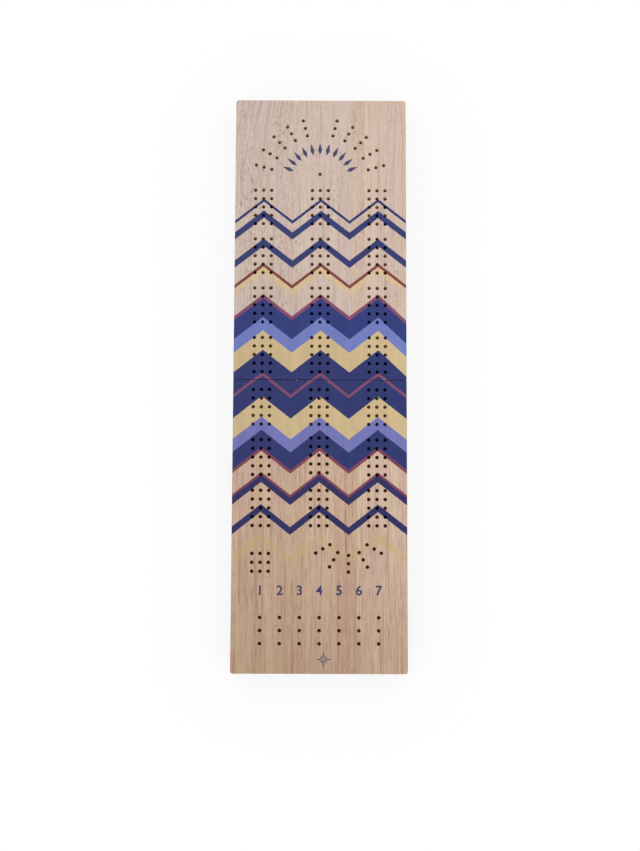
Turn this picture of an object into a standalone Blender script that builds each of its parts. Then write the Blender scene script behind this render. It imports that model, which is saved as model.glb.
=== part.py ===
"""A folding cribbage board: two drilled playing panels on hollow frames, hinged underneath at the seam.

The board lies open on its four feet, playing faces up. +Y runs from the games-won end to the sunrise
turn, +X to the right, and the origin is on the table under the middle of the seam. The lower board
is the half at -Y and the upper board the half at +Y. Each half is a tray: a panel 8 mm thick, glued
on two end rails and two side rails, with a divider across it. Folded, the two trays make a box for a
deck of cards, and the playing faces are its outside. Nine pegs lie behind a sliding lid.
"""

import math

import bmesh
import bpy
from mathutils import Matrix

MM = 0.001

# Driving sizes, in millimetres
BOARD_WIDTH = 101.6
HALF_LENGTH = 169.5
PANEL_THICKNESS = 8.0
RAIL_HEIGHT = 11.0
END_RAIL_WIDTH = 13.0
SIDE_RAIL_WIDTH = 17.0
DIVIDER_WIDTH = 4.0
DECK_BAY_LENGTH = 94.5
FOOT_REACH = 2.0
SEAM_GAP = 0.3
CLOSING_GAP = 0.3
GLUE_GAP = 0.3

# Heights above the table
AXIS_Z = FOOT_REACH
RAIL_Z = AXIS_Z + CLOSING_GAP / 2
RAIL_TOP_Z = RAIL_Z + RAIL_HEIGHT
PANEL_Z = RAIL_TOP_Z + GLUE_GAP
FACE_Z = PANEL_Z + PANEL_THICKNESS

# Distances from the seam, the same in both halves
SEAM_Y = SEAM_GAP / 2
SEAM_RAIL_Y = SEAM_Y + END_RAIL_WIDTH
END_RAIL_Y = HALF_LENGTH - END_RAIL_WIDTH
DIVIDER_Y = SEAM_RAIL_Y + DECK_BAY_LENGTH
STORE_Y = DIVIDER_Y + DIVIDER_WIDTH
BAY_X = BOARD_WIDTH / 2 - SIDE_RAIL_WIDTH

# Peg holes: three lanes of three tracks, drilled in fives
HOLE_DIAMETER = 2.1
HOLE_DEPTH = 6.0
HOLE_SIDES = 8
TRACK_PITCH = 4.76
ROW_PITCH = 5.09
LANE_PITCH = 33.75
UPPER_FIVE_PITCH = 29.63
UPPER_FIRST_FIVE_Y = 14.9
UPPER_FIVES = 4
UPPER_DRILL_X = -0.15
LOWER_FIRST_FIVE_Y = -15.97
LOWER_FIVES = 3
LOWER_FIVE_PITCH = 29.5
LOWER_DRILL_X = -0.45
MIDDLE_SECOND_FIVE_RISE = 1.15

# The turn at the top: ten spokes round a centre, with none straight up
SUNRISE_X = -0.4
SUNRISE_Y = 118.64
SUNRISE_RADIUS = 34.69
SUNRISE_STEP = 14.83
SUNRISE_SPOKES = (-5, -4, -3, -2, -1, 1, 2, 3, 4, 5)
FINISH_Y = 123.9

# The turn at the bottom: five spokes between the middle and the right lane
BOTTOM_TURN_X = 16.78
BOTTOM_TURN_Y = -89.77
BOTTOM_TURN_RADIUS = 17.2
BOTTOM_TURN_STEP = 29.8

START_Y = -106.3
START_ROW_PITCH = 5.1
GAMES_Y = -145.1
GAMES_ROW_PITCH = 7.4
GAMES_COLUMN_PITCH = 11.38
GAMES_COLUMNS = 7

# Panel and rail edges
CORNER_RADIUS = 1.4
EDGE_EASE = 0.5
SEAM_EASE = 0.12
RAIL_EASE = 0.4

# Hinges: butt hinges 25.4 mm long, let into the seam rails with their pins on the folding axis
HINGE_X = 30.0
HINGE_LENGTH = 25.4
HINGE_LEAF_REACH = 9.2
HINGE_LEAF_THICKNESS = 1.0
HINGE_LEAF_ROOT = 1.0
KNUCKLE_RADIUS = 1.6
KNUCKLE_COUNT = 5
KNUCKLE_GAP = 0.3
KNUCKLE_CLEARANCE = 0.3
KNUCKLE_SIDES = 16
PIN_RADIUS = 0.8
PIN_BORE_RADIUS = 0.9
PIN_OVERRUN = 0.4
SCREW_X = 8.0
SCREW_Y = 5.7
SCREW_HEAD_RADIUS = 1.65
SCREW_SHANK_RADIUS = 0.85
SCREW_LENGTH = 8.6
SCREW_HEAD_HEIGHT = 0.9
SCREW_HEAD_RIM = 0.1
SCREW_INSET = 0.05
SCREW_POINT = 1.8
SCREW_SLOT = (0.45, 0.4)
SCREW_CLEARANCE = 0.3
SCREW_STEPS = 12

# Magnets, feet and the sockets that take the other half's feet when the board is folded
MAGNET_X = 13.0
MAGNET_RADIUS = 3.0
MAGNET_THICKNESS = 2.5
MAGNET_INSET = 0.1
FOOT_X = {"upper": 42.0, "lower": 28.0}
FOOT_RADIUS = 4.0
FOOT_INSET = 1.0
SOCKET_RADIUS = 4.6
SOCKET_DEPTH = 2.3
FIT_GAP = 0.3

# Sliding lid over the pegs
LID_THICKNESS = 2.0
LID_GAP = 0.3
GROOVE_Z = RAIL_Z + 1.0
GROOVE_HEIGHT = LID_THICKNESS + 2 * LID_GAP
GROOVE_DEPTH = 2.5
THUMB_RADIUS = 7.0
THUMB_DEPTH = 1.0

# Pegs
PEG_LENGTH = 24.0
PEG_PITCH = 4.7
PEG_FIRST_X = -29.0
PEG_STEPS = 10
PEG_HEAD_RADIUS = 1.7
PEG_WAIST_RADIUS = 1.15
PEG_SHANK_RADIUS = 0.95
PEG_TIP_RADIUS = 0.55
PEG_COLOURS = ("red", "yellow", "navy")
PEGS_PER_COLOUR = 3

CUTTER_OVERRUN = 1.0
SMOOTH_ANGLE = math.radians(35)

# Base colour, metallic, roughness
FINISHES = {
    "upper_wood": ((0.66, 0.54, 0.43), 0.0, 0.55),
    "lower_wood": ((0.60, 0.46, 0.33), 0.0, 0.55),
    "brass": ((0.72, 0.54, 0.26), 1.0, 0.32),
    "nickel": ((0.62, 0.61, 0.58), 1.0, 0.25),
    "rubber": ((0.05, 0.05, 0.055), 0.0, 0.7),
    "red": ((0.42, 0.04, 0.07), 0.0, 0.3),
    "yellow": ((0.75, 0.52, 0.16), 0.0, 0.3),
    "navy": ((0.04, 0.06, 0.22), 0.0, 0.3),
}


def start_scene():
    """Clears the scene and makes the two collections: the parts, and the cutters that shape them."""
    for obj in list(bpy.data.objects):
        bpy.data.objects.remove(obj)
    parts = bpy.data.collections.new("cribbage_board")
    cutters = bpy.data.collections.new("cutters")
    for collection in (parts, cutters):
        bpy.context.scene.collection.children.link(collection)
    return parts, cutters


def material(finish):
    """The material of that finish, made when it is first asked for."""
    found = bpy.data.materials.get(finish)
    if found:
        return found
    colour, metallic, roughness = FINISHES[finish]
    made = bpy.data.materials.new(finish)
    made.use_nodes = True
    surface = made.node_tree.nodes["Principled BSDF"]
    surface.inputs["Base Color"].default_value = (*colour, 1.0)
    surface.inputs["Metallic"].default_value = metallic
    surface.inputs["Roughness"].default_value = roughness
    return made


def file_under(obj, collection):
    """Moves a new object into its collection. Cutters are drawn as wire and left out of renders."""
    for home in list(obj.users_collection):
        home.objects.unlink(obj)
    collection.objects.link(obj)
    if collection.name == "cutters":
        obj.hide_render = True
        obj.display_type = "WIRE"
    return obj


def finish_with(obj, finish):
    obj.data.materials.clear()
    obj.data.materials.append(material(finish))
    return obj


def block(name, low, high, collection):
    """A box between two corners, in millimetres, with its origin at its centre."""
    centre = [(a + b) / 2 * MM for a, b in zip(low, high)]
    bpy.ops.mesh.primitive_cube_add(size=1, location=centre)
    obj = bpy.context.active_object
    obj.name = name
    obj.data.name = name
    obj.data.transform(Matrix.Diagonal([abs(b - a) * MM for a, b in zip(low, high)] + [1]))
    return file_under(obj, collection)


def mirrored_block(name, side, low, high, collection):
    """A box given by its distances from the seam, on the upper (+1) or the lower (-1) board."""
    ends = sorted((side * low[1], side * high[1]))
    return block(name, (low[0], ends[0], low[2]), (high[0], ends[1], high[2]), collection)


def ease_edges(obj, width, segments=1):
    bevel = obj.modifiers.new("eased_edges", "BEVEL")
    bevel.width = width * MM
    bevel.segments = segments
    bevel.limit_method = "ANGLE"
    return obj


def rods(name, places, radius, sides, collection, top_radius=None, turn=0.0):
    """One cutter of separate upright rods. Each place is x, y, lowest z and highest z."""
    mesh = bpy.data.meshes.new(name)
    shape = bmesh.new()
    for x, y, z_low, z_high in places:
        middle = Matrix.Translation((x * MM, y * MM, (z_low + z_high) / 2 * MM))
        bmesh.ops.create_cone(
            shape,
            cap_ends=True,
            segments=sides,
            radius1=radius * MM,
            radius2=(radius if top_radius is None else top_radius) * MM,
            depth=(z_high - z_low) * MM,
            matrix=middle @ Matrix.Rotation(turn, 4, "Z"),
        )
    shape.to_mesh(mesh)
    shape.free()
    return file_under(bpy.data.objects.new(name, mesh), collection)


def bars(name, spans, radius, sides, collection):
    """One cutter of separate bars along X on the folding axis. Each span is a lowest and highest x."""
    mesh = bpy.data.meshes.new(name)
    shape = bmesh.new()
    along_x = Matrix.Rotation(math.pi / 2, 4, "Y")
    for x_low, x_high in spans:
        bmesh.ops.create_cone(
            shape,
            cap_ends=True,
            segments=sides,
            radius1=radius * MM,
            radius2=radius * MM,
            depth=(x_high - x_low) * MM,
            matrix=Matrix.Translation(((x_low + x_high) / 2 * MM, 0, AXIS_Z * MM)) @ along_x,
        )
    for face in shape.faces:
        face.smooth = len(face.verts) == 4
    shape.to_mesh(mesh)
    shape.free()
    return file_under(bpy.data.objects.new(name, mesh), collection)


def turned(name, profile, steps, collection):
    """A solid turned round Z from (radius, height) points in millimetres, from top to bottom.

    It is shaded smooth, with its corners left sharp.
    """
    mesh = bpy.data.meshes.new(name)
    points = [(radius * MM, 0, height * MM) for radius, height in profile]
    mesh.from_pydata(points, [(i, i + 1) for i in range(len(points) - 1)], [])
    obj = file_under(bpy.data.objects.new(name, mesh), collection)
    screw = obj.modifiers.new("turned", "SCREW")
    screw.steps = steps
    screw.render_steps = steps
    screw.use_merge_vertices = True
    screw.merge_threshold = 0.00001
    evaluated = obj.evaluated_get(bpy.context.evaluated_depsgraph_get())
    obj.data = bpy.data.meshes.new_from_object(evaluated)
    obj.modifiers.clear()
    obj.data.name = name
    obj.data.shade_smooth()
    obj.data.set_sharp_from_angle(angle=SMOOTH_ANGLE)
    return obj


def boolean(obj, tool, operation):
    """Cuts or joins another mesh into an object."""
    step = obj.modifiers.new(f"{operation.lower()}_{tool.name}", "BOOLEAN")
    step.operation = operation
    step.object = tool
    step.solver = "EXACT"
    return obj


def cut(obj, *tools):
    for tool in tools:
        boolean(obj, tool, "DIFFERENCE")
    return obj


def three_tracks(centre, y):
    """The three holes of one row of a lane."""
    return [(centre + track * TRACK_PITCH, y) for track in (-1, 0, 1)]


def lane_holes(drill_x, first_y, fives, step, middle_rise):
    """The rows of five in all three lanes. The middle lane's second five sits a little high below."""
    holes = []
    for five in range(fives):
        for lane in (-1, 0, 1):
            raised = middle_rise if (five == 1 and lane == 0) else 0.0
            for row in (-2, -1, 0, 1, 2):
                y = first_y + five * step + row * ROW_PITCH + raised
                holes += three_tracks(drill_x + lane * LANE_PITCH, y)
    return holes


def spoke(centre_x, centre_y, radius, degrees):
    """Three holes on a line out from a turn's centre. The angle is measured from straight up."""
    angle = math.radians(degrees)
    reach = [radius + track * TRACK_PITCH for track in (-1, 0, 1)]
    return [(centre_x + r * math.sin(angle), centre_y + r * math.cos(angle)) for r in reach]


def upper_holes():
    holes = lane_holes(UPPER_DRILL_X, UPPER_FIRST_FIVE_Y, UPPER_FIVES, UPPER_FIVE_PITCH, 0.0)
    for place in SUNRISE_SPOKES:
        holes += spoke(SUNRISE_X, SUNRISE_Y, SUNRISE_RADIUS, place * SUNRISE_STEP)
    holes.append((SUNRISE_X, FINISH_Y))
    return holes


def lower_holes():
    holes = lane_holes(
        LOWER_DRILL_X, LOWER_FIRST_FIVE_Y, LOWER_FIVES, -LOWER_FIVE_PITCH, MIDDLE_SECOND_FIVE_RISE
    )
    for place in (-2, -1, 0, 1, 2):
        degrees = 180 + place * BOTTOM_TURN_STEP
        holes += spoke(BOTTOM_TURN_X, BOTTOM_TURN_Y, BOTTOM_TURN_RADIUS, degrees)
    for row in (-1, 0, 1):
        holes += three_tracks(LOWER_DRILL_X - LANE_PITCH, START_Y + row * START_ROW_PITCH)
        for column in range(GAMES_COLUMNS):
            x = (column - (GAMES_COLUMNS - 1) / 2) * GAMES_COLUMN_PITCH
            holes.append((x, GAMES_Y + row * GAMES_ROW_PITCH))
    return holes


def panel(half, side, holes, parts, cutters):
    """A playing panel, its outer corners rounded and its top edges eased, drilled with blind peg holes."""
    name = f"{half}_playing_panel"
    low = (-BOARD_WIDTH / 2, SEAM_Y, PANEL_Z)
    high = (BOARD_WIDTH / 2, HALF_LENGTH, FACE_Z)
    obj = mirrored_block(name, side, low, high, parts)
    weights = obj.data.attributes.new("bevel_weight_edge", "FLOAT", "EDGE")
    for edge in obj.data.edges:
        ends = [obj.data.vertices[i].co for i in edge.vertices]
        at_seam = all(end.y * side < 0 for end in ends)
        upright = abs(ends[0].z - ends[1].z) > MM
        on_top = all(end.z > 0 for end in ends)
        if at_seam:
            weights.data[edge.index].value = SEAM_EASE / CORNER_RADIUS
        elif upright and ends[0].y * side > 0:
            weights.data[edge.index].value = 1.0
        elif on_top:
            weights.data[edge.index].value = EDGE_EASE / CORNER_RADIUS
    bevel = obj.modifiers.new("eased_edges", "BEVEL")
    bevel.width = CORNER_RADIUS * MM
    bevel.segments = 3
    bevel.limit_method = "WEIGHT"
    places = [(x, y, FACE_Z - HOLE_DEPTH, FACE_Z + CUTTER_OVERRUN) for x, y in holes]
    corner_radius = HOLE_DIAMETER / 2 / math.cos(math.pi / HOLE_SIDES)
    drill = rods(
        f"{half}_peg_drill", places, corner_radius, HOLE_SIDES, cutters, turn=math.pi / HOLE_SIDES
    )
    return finish_with(cut(obj, drill), f"{half}_wood")


def hinge_mortises(half, side, cutters):
    """What the two hinges take out of a seam rail: leaf beds, a notch for the knuckles, pilot holes."""
    tools = []
    reach = HINGE_LENGTH / 2 + GLUE_GAP
    notch_reach = HINGE_LENGTH / 2 + PIN_OVERRUN + KNUCKLE_CLEARANCE
    bed_z = RAIL_Z + HINGE_LEAF_THICKNESS + GLUE_GAP
    notch_z = AXIS_Z + KNUCKLE_RADIUS + KNUCKLE_CLEARANCE
    for name, hand in (("left", -1), ("right", 1)):
        middle = hand * HINGE_X
        below = RAIL_Z - CUTTER_OVERRUN
        leaf_low = (middle - reach, -CUTTER_OVERRUN, below)
        leaf_high = (middle + reach, HINGE_LEAF_REACH + GLUE_GAP, bed_z)
        tools.append(mirrored_block(f"{half}_{name}_leaf_bed", side, leaf_low, leaf_high, cutters))
        notch_low = (middle - notch_reach, -CUTTER_OVERRUN, below)
        notch_high = (middle + notch_reach, KNUCKLE_RADIUS + KNUCKLE_CLEARANCE, notch_z)
        tools.append(mirrored_block(f"{half}_{name}_notch", side, notch_low, notch_high, cutters))
    pilots = []
    for hand in (-1, 1):
        for along in (-1, 1):
            x = hand * HINGE_X + along * SCREW_X
            top = RAIL_Z + SCREW_LENGTH + SCREW_CLEARANCE
            pilots.append((x, side * SCREW_Y, RAIL_Z - CUTTER_OVERRUN, top))
    radius = SCREW_SHANK_RADIUS + SCREW_CLEARANCE
    tools.append(rods(f"{half}_screw_pilots", pilots, radius, SCREW_STEPS, cutters))
    return tools


def end_rail_pockets(half, side, cutters):
    """Magnet pockets, foot counterbores and the sockets for the other half's feet."""
    y = side * (END_RAIL_Y + END_RAIL_WIDTH / 2)
    other = "lower" if half == "upper" else "upper"
    below = RAIL_Z - CUTTER_OVERRUN
    pockets = (
        ("magnets", MAGNET_X, MAGNET_RADIUS + FIT_GAP, MAGNET_INSET + MAGNET_THICKNESS + FIT_GAP, 20),
        ("feet", FOOT_X[half], FOOT_RADIUS + FIT_GAP, FOOT_INSET + FIT_GAP, 16),
        ("sockets", FOOT_X[other], SOCKET_RADIUS, SOCKET_DEPTH, 16),
    )
    tools = []
    for name, x, radius, depth, sides in pockets:
        places = [(hand * x, y, below, RAIL_Z + depth) for hand in (-1, 1)]
        tools.append(rods(f"{half}_{name}_pockets", places, radius, sides, cutters))
    return tools


def frame(half, side, parts, cutters):
    """The rails and the divider under a panel. The lower side rails are grooved for the lid."""
    finish = f"{half}_wood"
    half_width = BOARD_WIDTH / 2
    seam_high = (half_width, SEAM_RAIL_Y, RAIL_TOP_Z)
    seam = mirrored_block(f"{half}_seam_rail", side, (-half_width, SEAM_Y, RAIL_Z), seam_high, parts)
    finish_with(cut(seam, *hinge_mortises(half, side, cutters)), finish)
    end_high = (half_width, HALF_LENGTH, RAIL_TOP_Z)
    end = mirrored_block(f"{half}_end_rail", side, (-half_width, END_RAIL_Y, RAIL_Z), end_high, parts)
    ease_edges(end, RAIL_EASE)
    finish_with(cut(end, *end_rail_pockets(half, side, cutters)), finish)
    for name, hand in (("left", -1), ("right", 1)):
        across = sorted((hand * half_width, hand * BAY_X))
        low = (across[0], SEAM_RAIL_Y + GLUE_GAP, RAIL_Z)
        high = (across[1], END_RAIL_Y - GLUE_GAP, RAIL_TOP_Z)
        rail = mirrored_block(f"{half}_{name}_rail", side, low, high, parts)
        if half == "lower":
            span = sorted((hand * (BAY_X - CUTTER_OVERRUN), hand * (BAY_X + GROOVE_DEPTH)))
            groove = mirrored_block(
                f"lower_{name}_groove",
                side,
                (span[0], SEAM_RAIL_Y - CUTTER_OVERRUN, GROOVE_Z),
                (span[1], END_RAIL_Y + CUTTER_OVERRUN, GROOVE_Z + GROOVE_HEIGHT),
                cutters,
            )
            cut(rail, groove)
        finish_with(rail, finish)
    divider_z = GROOVE_Z + GROOVE_HEIGHT if half == "lower" else RAIL_Z
    low = (-BAY_X + GLUE_GAP, DIVIDER_Y, divider_z)
    high = (BAY_X - GLUE_GAP, STORE_Y, RAIL_TOP_Z)
    divider = mirrored_block(f"{half}_divider", side, low, high, parts)
    finish_with(divider, finish)


def knuckle_spans(middle, slots, gap):
    """The stretches of the folding axis that a leaf's knuckles take up, shortened by half a gap."""
    length = HINGE_LENGTH / KNUCKLE_COUNT
    start = middle - HINGE_LENGTH / 2
    return [(start + i * length + gap / 2, start + (i + 1) * length - gap / 2) for i in slots]


def hinge_leaf(half, side, name, middle, parts, cutters):
    """A leaf with its own knuckles, bored for the pin and countersunk for two screws."""
    label = f"{name}_hinge_{half}_leaf"
    own = (1, 3) if half == "upper" else (0, 2, 4)
    others = [i for i in range(KNUCKLE_COUNT) if i not in own]
    leaf_z = RAIL_Z + HINGE_LEAF_THICKNESS
    low = (middle - HINGE_LENGTH / 2, HINGE_LEAF_ROOT, RAIL_Z)
    high = (middle + HINGE_LENGTH / 2, HINGE_LEAF_REACH, leaf_z)
    leaf = mirrored_block(label, side, low, high, parts)
    for number, (x_low, x_high) in enumerate(knuckle_spans(middle, others, -KNUCKLE_GAP)):
        notch_low = (x_low, 0.0, RAIL_Z - CUTTER_OVERRUN)
        notch_high = (x_high, KNUCKLE_RADIUS + KNUCKLE_CLEARANCE, leaf_z + CUTTER_OVERRUN)
        cut(leaf, mirrored_block(f"{label}_notch_{number}", side, notch_low, notch_high, cutters))
    barrel = bars(
        f"{label}_barrel", knuckle_spans(middle, own, KNUCKLE_GAP), KNUCKLE_RADIUS, KNUCKLE_SIDES, cutters
    )
    boolean(leaf, barrel, "UNION")
    overrun = HINGE_LENGTH / 2 + CUTTER_OVERRUN
    whole = [(middle - overrun, middle + overrun)]
    bore = bars(f"{label}_bore", whole, PIN_BORE_RADIUS, KNUCKLE_SIDES, cutters)
    wide = SCREW_HEAD_RADIUS + SCREW_CLEARANCE
    narrow = SCREW_SHANK_RADIUS + SCREW_CLEARANCE
    slope = (wide - narrow) / HINGE_LEAF_THICKNESS
    overlap = 0.2
    places = [
        (middle + along * SCREW_X, side * SCREW_Y, RAIL_Z - overlap, leaf_z + overlap) for along in (-1, 1)
    ]
    sinks = rods(
        f"{label}_countersinks",
        places,
        wide + slope * overlap,
        SCREW_STEPS,
        cutters,
        top_radius=narrow - slope * overlap,
    )
    return finish_with(cut(leaf, bore, sinks), "brass")


def hinge_pin(name, middle, parts):
    """The pin, turned with blunt domed ends, and laid along X on the folding axis."""
    reach = HINGE_LENGTH / 2 + PIN_OVERRUN
    profile = [
        (0.0, reach),
        (PIN_RADIUS * 0.6, reach - 0.08),
        (PIN_RADIUS, reach - 0.35),
        (PIN_RADIUS, -reach + 0.35),
        (PIN_RADIUS * 0.6, -reach + 0.08),
        (0.0, -reach),
    ]
    pin = turned(f"{name}_hinge_pin", profile, SCREW_STEPS, parts)
    pin.location = (middle * MM, 0, AXIS_Z * MM)
    pin.rotation_euler = (0, math.pi / 2, 0)
    return finish_with(pin, "brass")


def wood_screw(name, x, y, slot_degrees, parts, cutters):
    """A slotted countersunk screw, driven upwards, its head just inside the leaf."""
    head_z = RAIL_Z + SCREW_INSET
    cone_z = head_z + SCREW_HEAD_HEIGHT
    tip_z = RAIL_Z + SCREW_LENGTH
    profile = [
        (0.0, tip_z),
        (SCREW_SHANK_RADIUS, tip_z - SCREW_POINT),
        (SCREW_SHANK_RADIUS, cone_z),
        (SCREW_HEAD_RADIUS, head_z + SCREW_HEAD_RIM),
        (SCREW_HEAD_RADIUS, head_z),
        (0.0, head_z),
    ]
    screw = turned(name, profile, SCREW_STEPS, parts)
    screw.location = (x * MM, y * MM, 0)
    wide, deep = SCREW_SLOT
    reach = SCREW_HEAD_RADIUS + CUTTER_OVERRUN
    low = (-reach, -wide / 2, head_z - CUTTER_OVERRUN)
    slot = block(f"{name}_slot", low, (reach, wide / 2, head_z + deep), cutters)
    slot.location.x = x * MM
    slot.location.y = y * MM
    slot.rotation_euler.z = math.radians(slot_degrees)
    return finish_with(cut(screw, slot), "brass")


def hinges(parts, cutters):
    """Both hinges: two leaves and a pin each, and two screws in each leaf."""
    number = 0
    for name, hand in (("left", -1), ("right", 1)):
        middle = hand * HINGE_X
        hinge_pin(name, middle, parts)
        for half, side in (("upper", 1), ("lower", -1)):
            hinge_leaf(half, side, name, middle, parts, cutters)
            for end, along in (("outer", hand), ("inner", -hand)):
                label = f"{name}_hinge_{half}_{end}_screw"
                x = middle + along * SCREW_X
                wood_screw(label, x, side * SCREW_Y, 37 * number, parts, cutters)
                number += 1


def magnets_and_feet(half, side, parts):
    """Two disc magnets and two rubber feet in an end rail."""
    y = side * (END_RAIL_Y + END_RAIL_WIDTH / 2)
    magnet_low = RAIL_Z + MAGNET_INSET
    magnet_high = magnet_low + MAGNET_THICKNESS
    rim = 0.25
    magnet_profile = [
        (0.0, magnet_high),
        (MAGNET_RADIUS, magnet_high),
        (MAGNET_RADIUS, magnet_low + rim),
        (MAGNET_RADIUS - rim, magnet_low),
        (0.0, magnet_low),
    ]
    foot_high = RAIL_Z + FOOT_INSET
    foot_profile = [
        (0.0, foot_high),
        (FOOT_RADIUS, foot_high),
        (FOOT_RADIUS, 1.1),
        (FOOT_RADIUS - 0.3, 0.4),
        (FOOT_RADIUS - 0.9, 0.0),
        (0.0, 0.0),
    ]
    for name, hand in (("left", -1), ("right", 1)):
        magnet = turned(f"{half}_{name}_magnet", magnet_profile, 20, parts)
        magnet.location = (hand * MAGNET_X * MM, y * MM, 0)
        finish_with(magnet, "nickel")
        foot = turned(f"{half}_{name}_foot", foot_profile, 16, parts)
        foot.location = (hand * FOOT_X[half] * MM, y * MM, 0)
        finish_with(foot, "rubber")


def peg_lid(parts, cutters):
    """The lid over the peg bay. It runs in the side rails' grooves towards the seam."""
    reach = BAY_X + GROOVE_DEPTH - LID_GAP
    low_z = GROOVE_Z + LID_GAP
    near = DIVIDER_Y + LID_GAP
    low = (-reach, near, low_z)
    high = (reach, END_RAIL_Y - LID_GAP, low_z + LID_THICKNESS)
    lid = mirrored_block("peg_lid", -1, low, high, parts)
    ease_edges(lid, 0.3)
    y = -(near + THUMB_RADIUS + 4.0)
    place = (0.0, y, low_z - CUTTER_OVERRUN, low_z + THUMB_DEPTH)
    scoop = rods("thumb_scoop", [place], THUMB_RADIUS, 24, cutters)
    return finish_with(cut(lid, scoop), "lower_wood")


def pegs(parts):
    """Nine turned pegs, three to a colour, side by side on the inside of the lid."""
    profile = [
        (0.0, PEG_LENGTH),
        (PEG_HEAD_RADIUS * 0.6, PEG_LENGTH - 0.25),
        (PEG_HEAD_RADIUS * 0.95, PEG_LENGTH - 1.2),
        (PEG_HEAD_RADIUS, PEG_LENGTH - 2.2),
        (PEG_WAIST_RADIUS, PEG_LENGTH / 2),
        (PEG_HEAD_RADIUS, 9.6),
        (PEG_HEAD_RADIUS, 8.6),
        (PEG_SHANK_RADIUS, 7.6),
        (PEG_SHANK_RADIUS * 0.9, 0.4),
        (PEG_TIP_RADIUS, 0.0),
        (0.0, 0.0),
    ]
    axis_z = GROOVE_Z + LID_GAP + LID_THICKNESS + FIT_GAP + PEG_HEAD_RADIUS
    middle_y = -(STORE_Y + END_RAIL_Y) / 2
    place = 0
    for colour in PEG_COLOURS:
        for number in range(1, PEGS_PER_COLOUR + 1):
            peg = turned(f"{colour}_peg_{number}", profile, PEG_STEPS, parts)
            turned_round = -1 if place % 2 else 1
            y = middle_y - turned_round * PEG_LENGTH / 2
            peg.location = ((PEG_FIRST_X + place * PEG_PITCH) * MM, y * MM, axis_z * MM)
            peg.rotation_euler = (-turned_round * math.pi / 2, 0, 0)
            finish_with(peg, colour)
            place += 1


def main():
    parts, cutters = start_scene()
    for half, side, holes in (("upper", 1, upper_holes()), ("lower", -1, lower_holes())):
        panel(half, side, holes, parts, cutters)
        frame(half, side, parts, cutters)
        magnets_and_feet(half, side, parts)
    hinges(parts, cutters)
    peg_lid(parts, cutters)
    pegs(parts)


main()
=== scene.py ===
"""The looks of a folding cribbage board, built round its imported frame.

The board is two trays of rubberwood, hinged underneath. Their panels are screen-printed with zigzags
and drilled with peg holes. Lengths here are in millimetres and turn to metres as a mesh is written.
"""

import logging
import math
from dataclasses import dataclass, replace
from enum import Enum
from typing import Callable, Iterable, Sequence

import bmesh
import bpy
from mathutils import Matrix, Vector
from mathutils.geometry import delaunay_2d_cdt


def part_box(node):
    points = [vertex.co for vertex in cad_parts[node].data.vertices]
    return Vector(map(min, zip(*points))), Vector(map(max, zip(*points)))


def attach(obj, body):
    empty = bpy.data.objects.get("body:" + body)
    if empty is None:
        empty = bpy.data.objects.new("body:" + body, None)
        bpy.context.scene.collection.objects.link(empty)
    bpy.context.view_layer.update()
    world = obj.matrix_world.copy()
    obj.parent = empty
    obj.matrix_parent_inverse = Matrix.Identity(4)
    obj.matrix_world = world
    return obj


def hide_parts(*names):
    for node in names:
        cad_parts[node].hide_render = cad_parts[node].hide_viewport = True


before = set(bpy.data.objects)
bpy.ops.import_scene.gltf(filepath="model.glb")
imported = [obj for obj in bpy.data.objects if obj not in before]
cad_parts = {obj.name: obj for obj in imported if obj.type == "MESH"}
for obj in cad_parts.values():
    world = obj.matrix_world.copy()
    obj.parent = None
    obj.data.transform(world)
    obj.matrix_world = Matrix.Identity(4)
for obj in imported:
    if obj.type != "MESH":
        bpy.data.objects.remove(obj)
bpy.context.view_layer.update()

LOG = logging.getLogger("cribbage_board")
MM = 0.001
SMOOTH_ANGLE = math.radians(38)
WHITE = "#FFFFFF"
CLEAR = 1.0  # How far a cutter reaches past what it cuts.
OFF_CENTRE = 0.5  # An edge's middle lies past this on each axis that it is off the block's centre on.
ON_AXIS = 1e-6  # A radius below this is a point on the axis.
EASE_SEGMENTS = 4
ROUND_SIDES = 40

Point = tuple[float, float, float]
Place = tuple[float, float]
Profile = Sequence[Place]
Feed = bpy.types.Node | bpy.types.NodeSocket | float | tuple


class Half(Enum):
    """The two boards that meet at the seam, each with the side of the seam that it lies on."""

    UPPER = 1
    LOWER = -1

    @property
    def label(self) -> str:
        """The word that starts the names of this half's pieces."""
        return self.name.lower()

    @property
    def body(self) -> str:
        """The body of the frame that this half rides on."""
        return f"{self.label}_board"

    @property
    def other(self) -> "Half":
        """The half on the far side of the seam."""
        return Half(-self.value)


class Along(Enum):
    """The axis that a piece of wood has its grain along."""

    X = "x"
    Y = "y"


class Hand(Enum):
    """The side of the board that a piece is on, seen from above."""

    LEFT = "left"
    RIGHT = "right"


class ScrewEnd(Enum):
    """The end of a hinge that a screw is at."""

    OUTER = "outer"
    INNER = "inner"


class PegColour(Enum):
    """A player's pegs, in the order that they lie in the bay."""

    RED = 0
    YELLOW = 1
    NAVY = 2

    @property
    def label(self) -> str:
        """The word that starts the names of these pegs."""
        return self.name.lower()


def linear(code: str) -> tuple[float, float, float, float]:
    """Turns an sRGB hex colour to the linear colour that shaders take.

    Args:
        code: A hash sign and six hex digits.

    Returns:
        Red, green, blue, and an alpha of 1.
    """
    levels = [int(code[i : i + 2], 16) / 255 for i in (1, 3, 5)]
    red, green, blue = (v / 12.92 if v <= 0.04045 else ((v + 0.055) / 1.055) ** 2.4 for v in levels)
    return red, green, blue, 1.0


def corners(node: str) -> tuple[Vector, Vector]:
    """The lowest and highest corner of a node of the frame, in millimetres."""
    low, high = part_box(node)
    return low / MM, high / MM


def upright(node: str) -> Point:
    """The centre's X and Y and the radius of an upright round node of the frame, in millimetres."""
    low, high = corners(node)
    return (low.x + high.x) / 2, (low.y + high.y) / 2, (high.x - low.x) / 2


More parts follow.
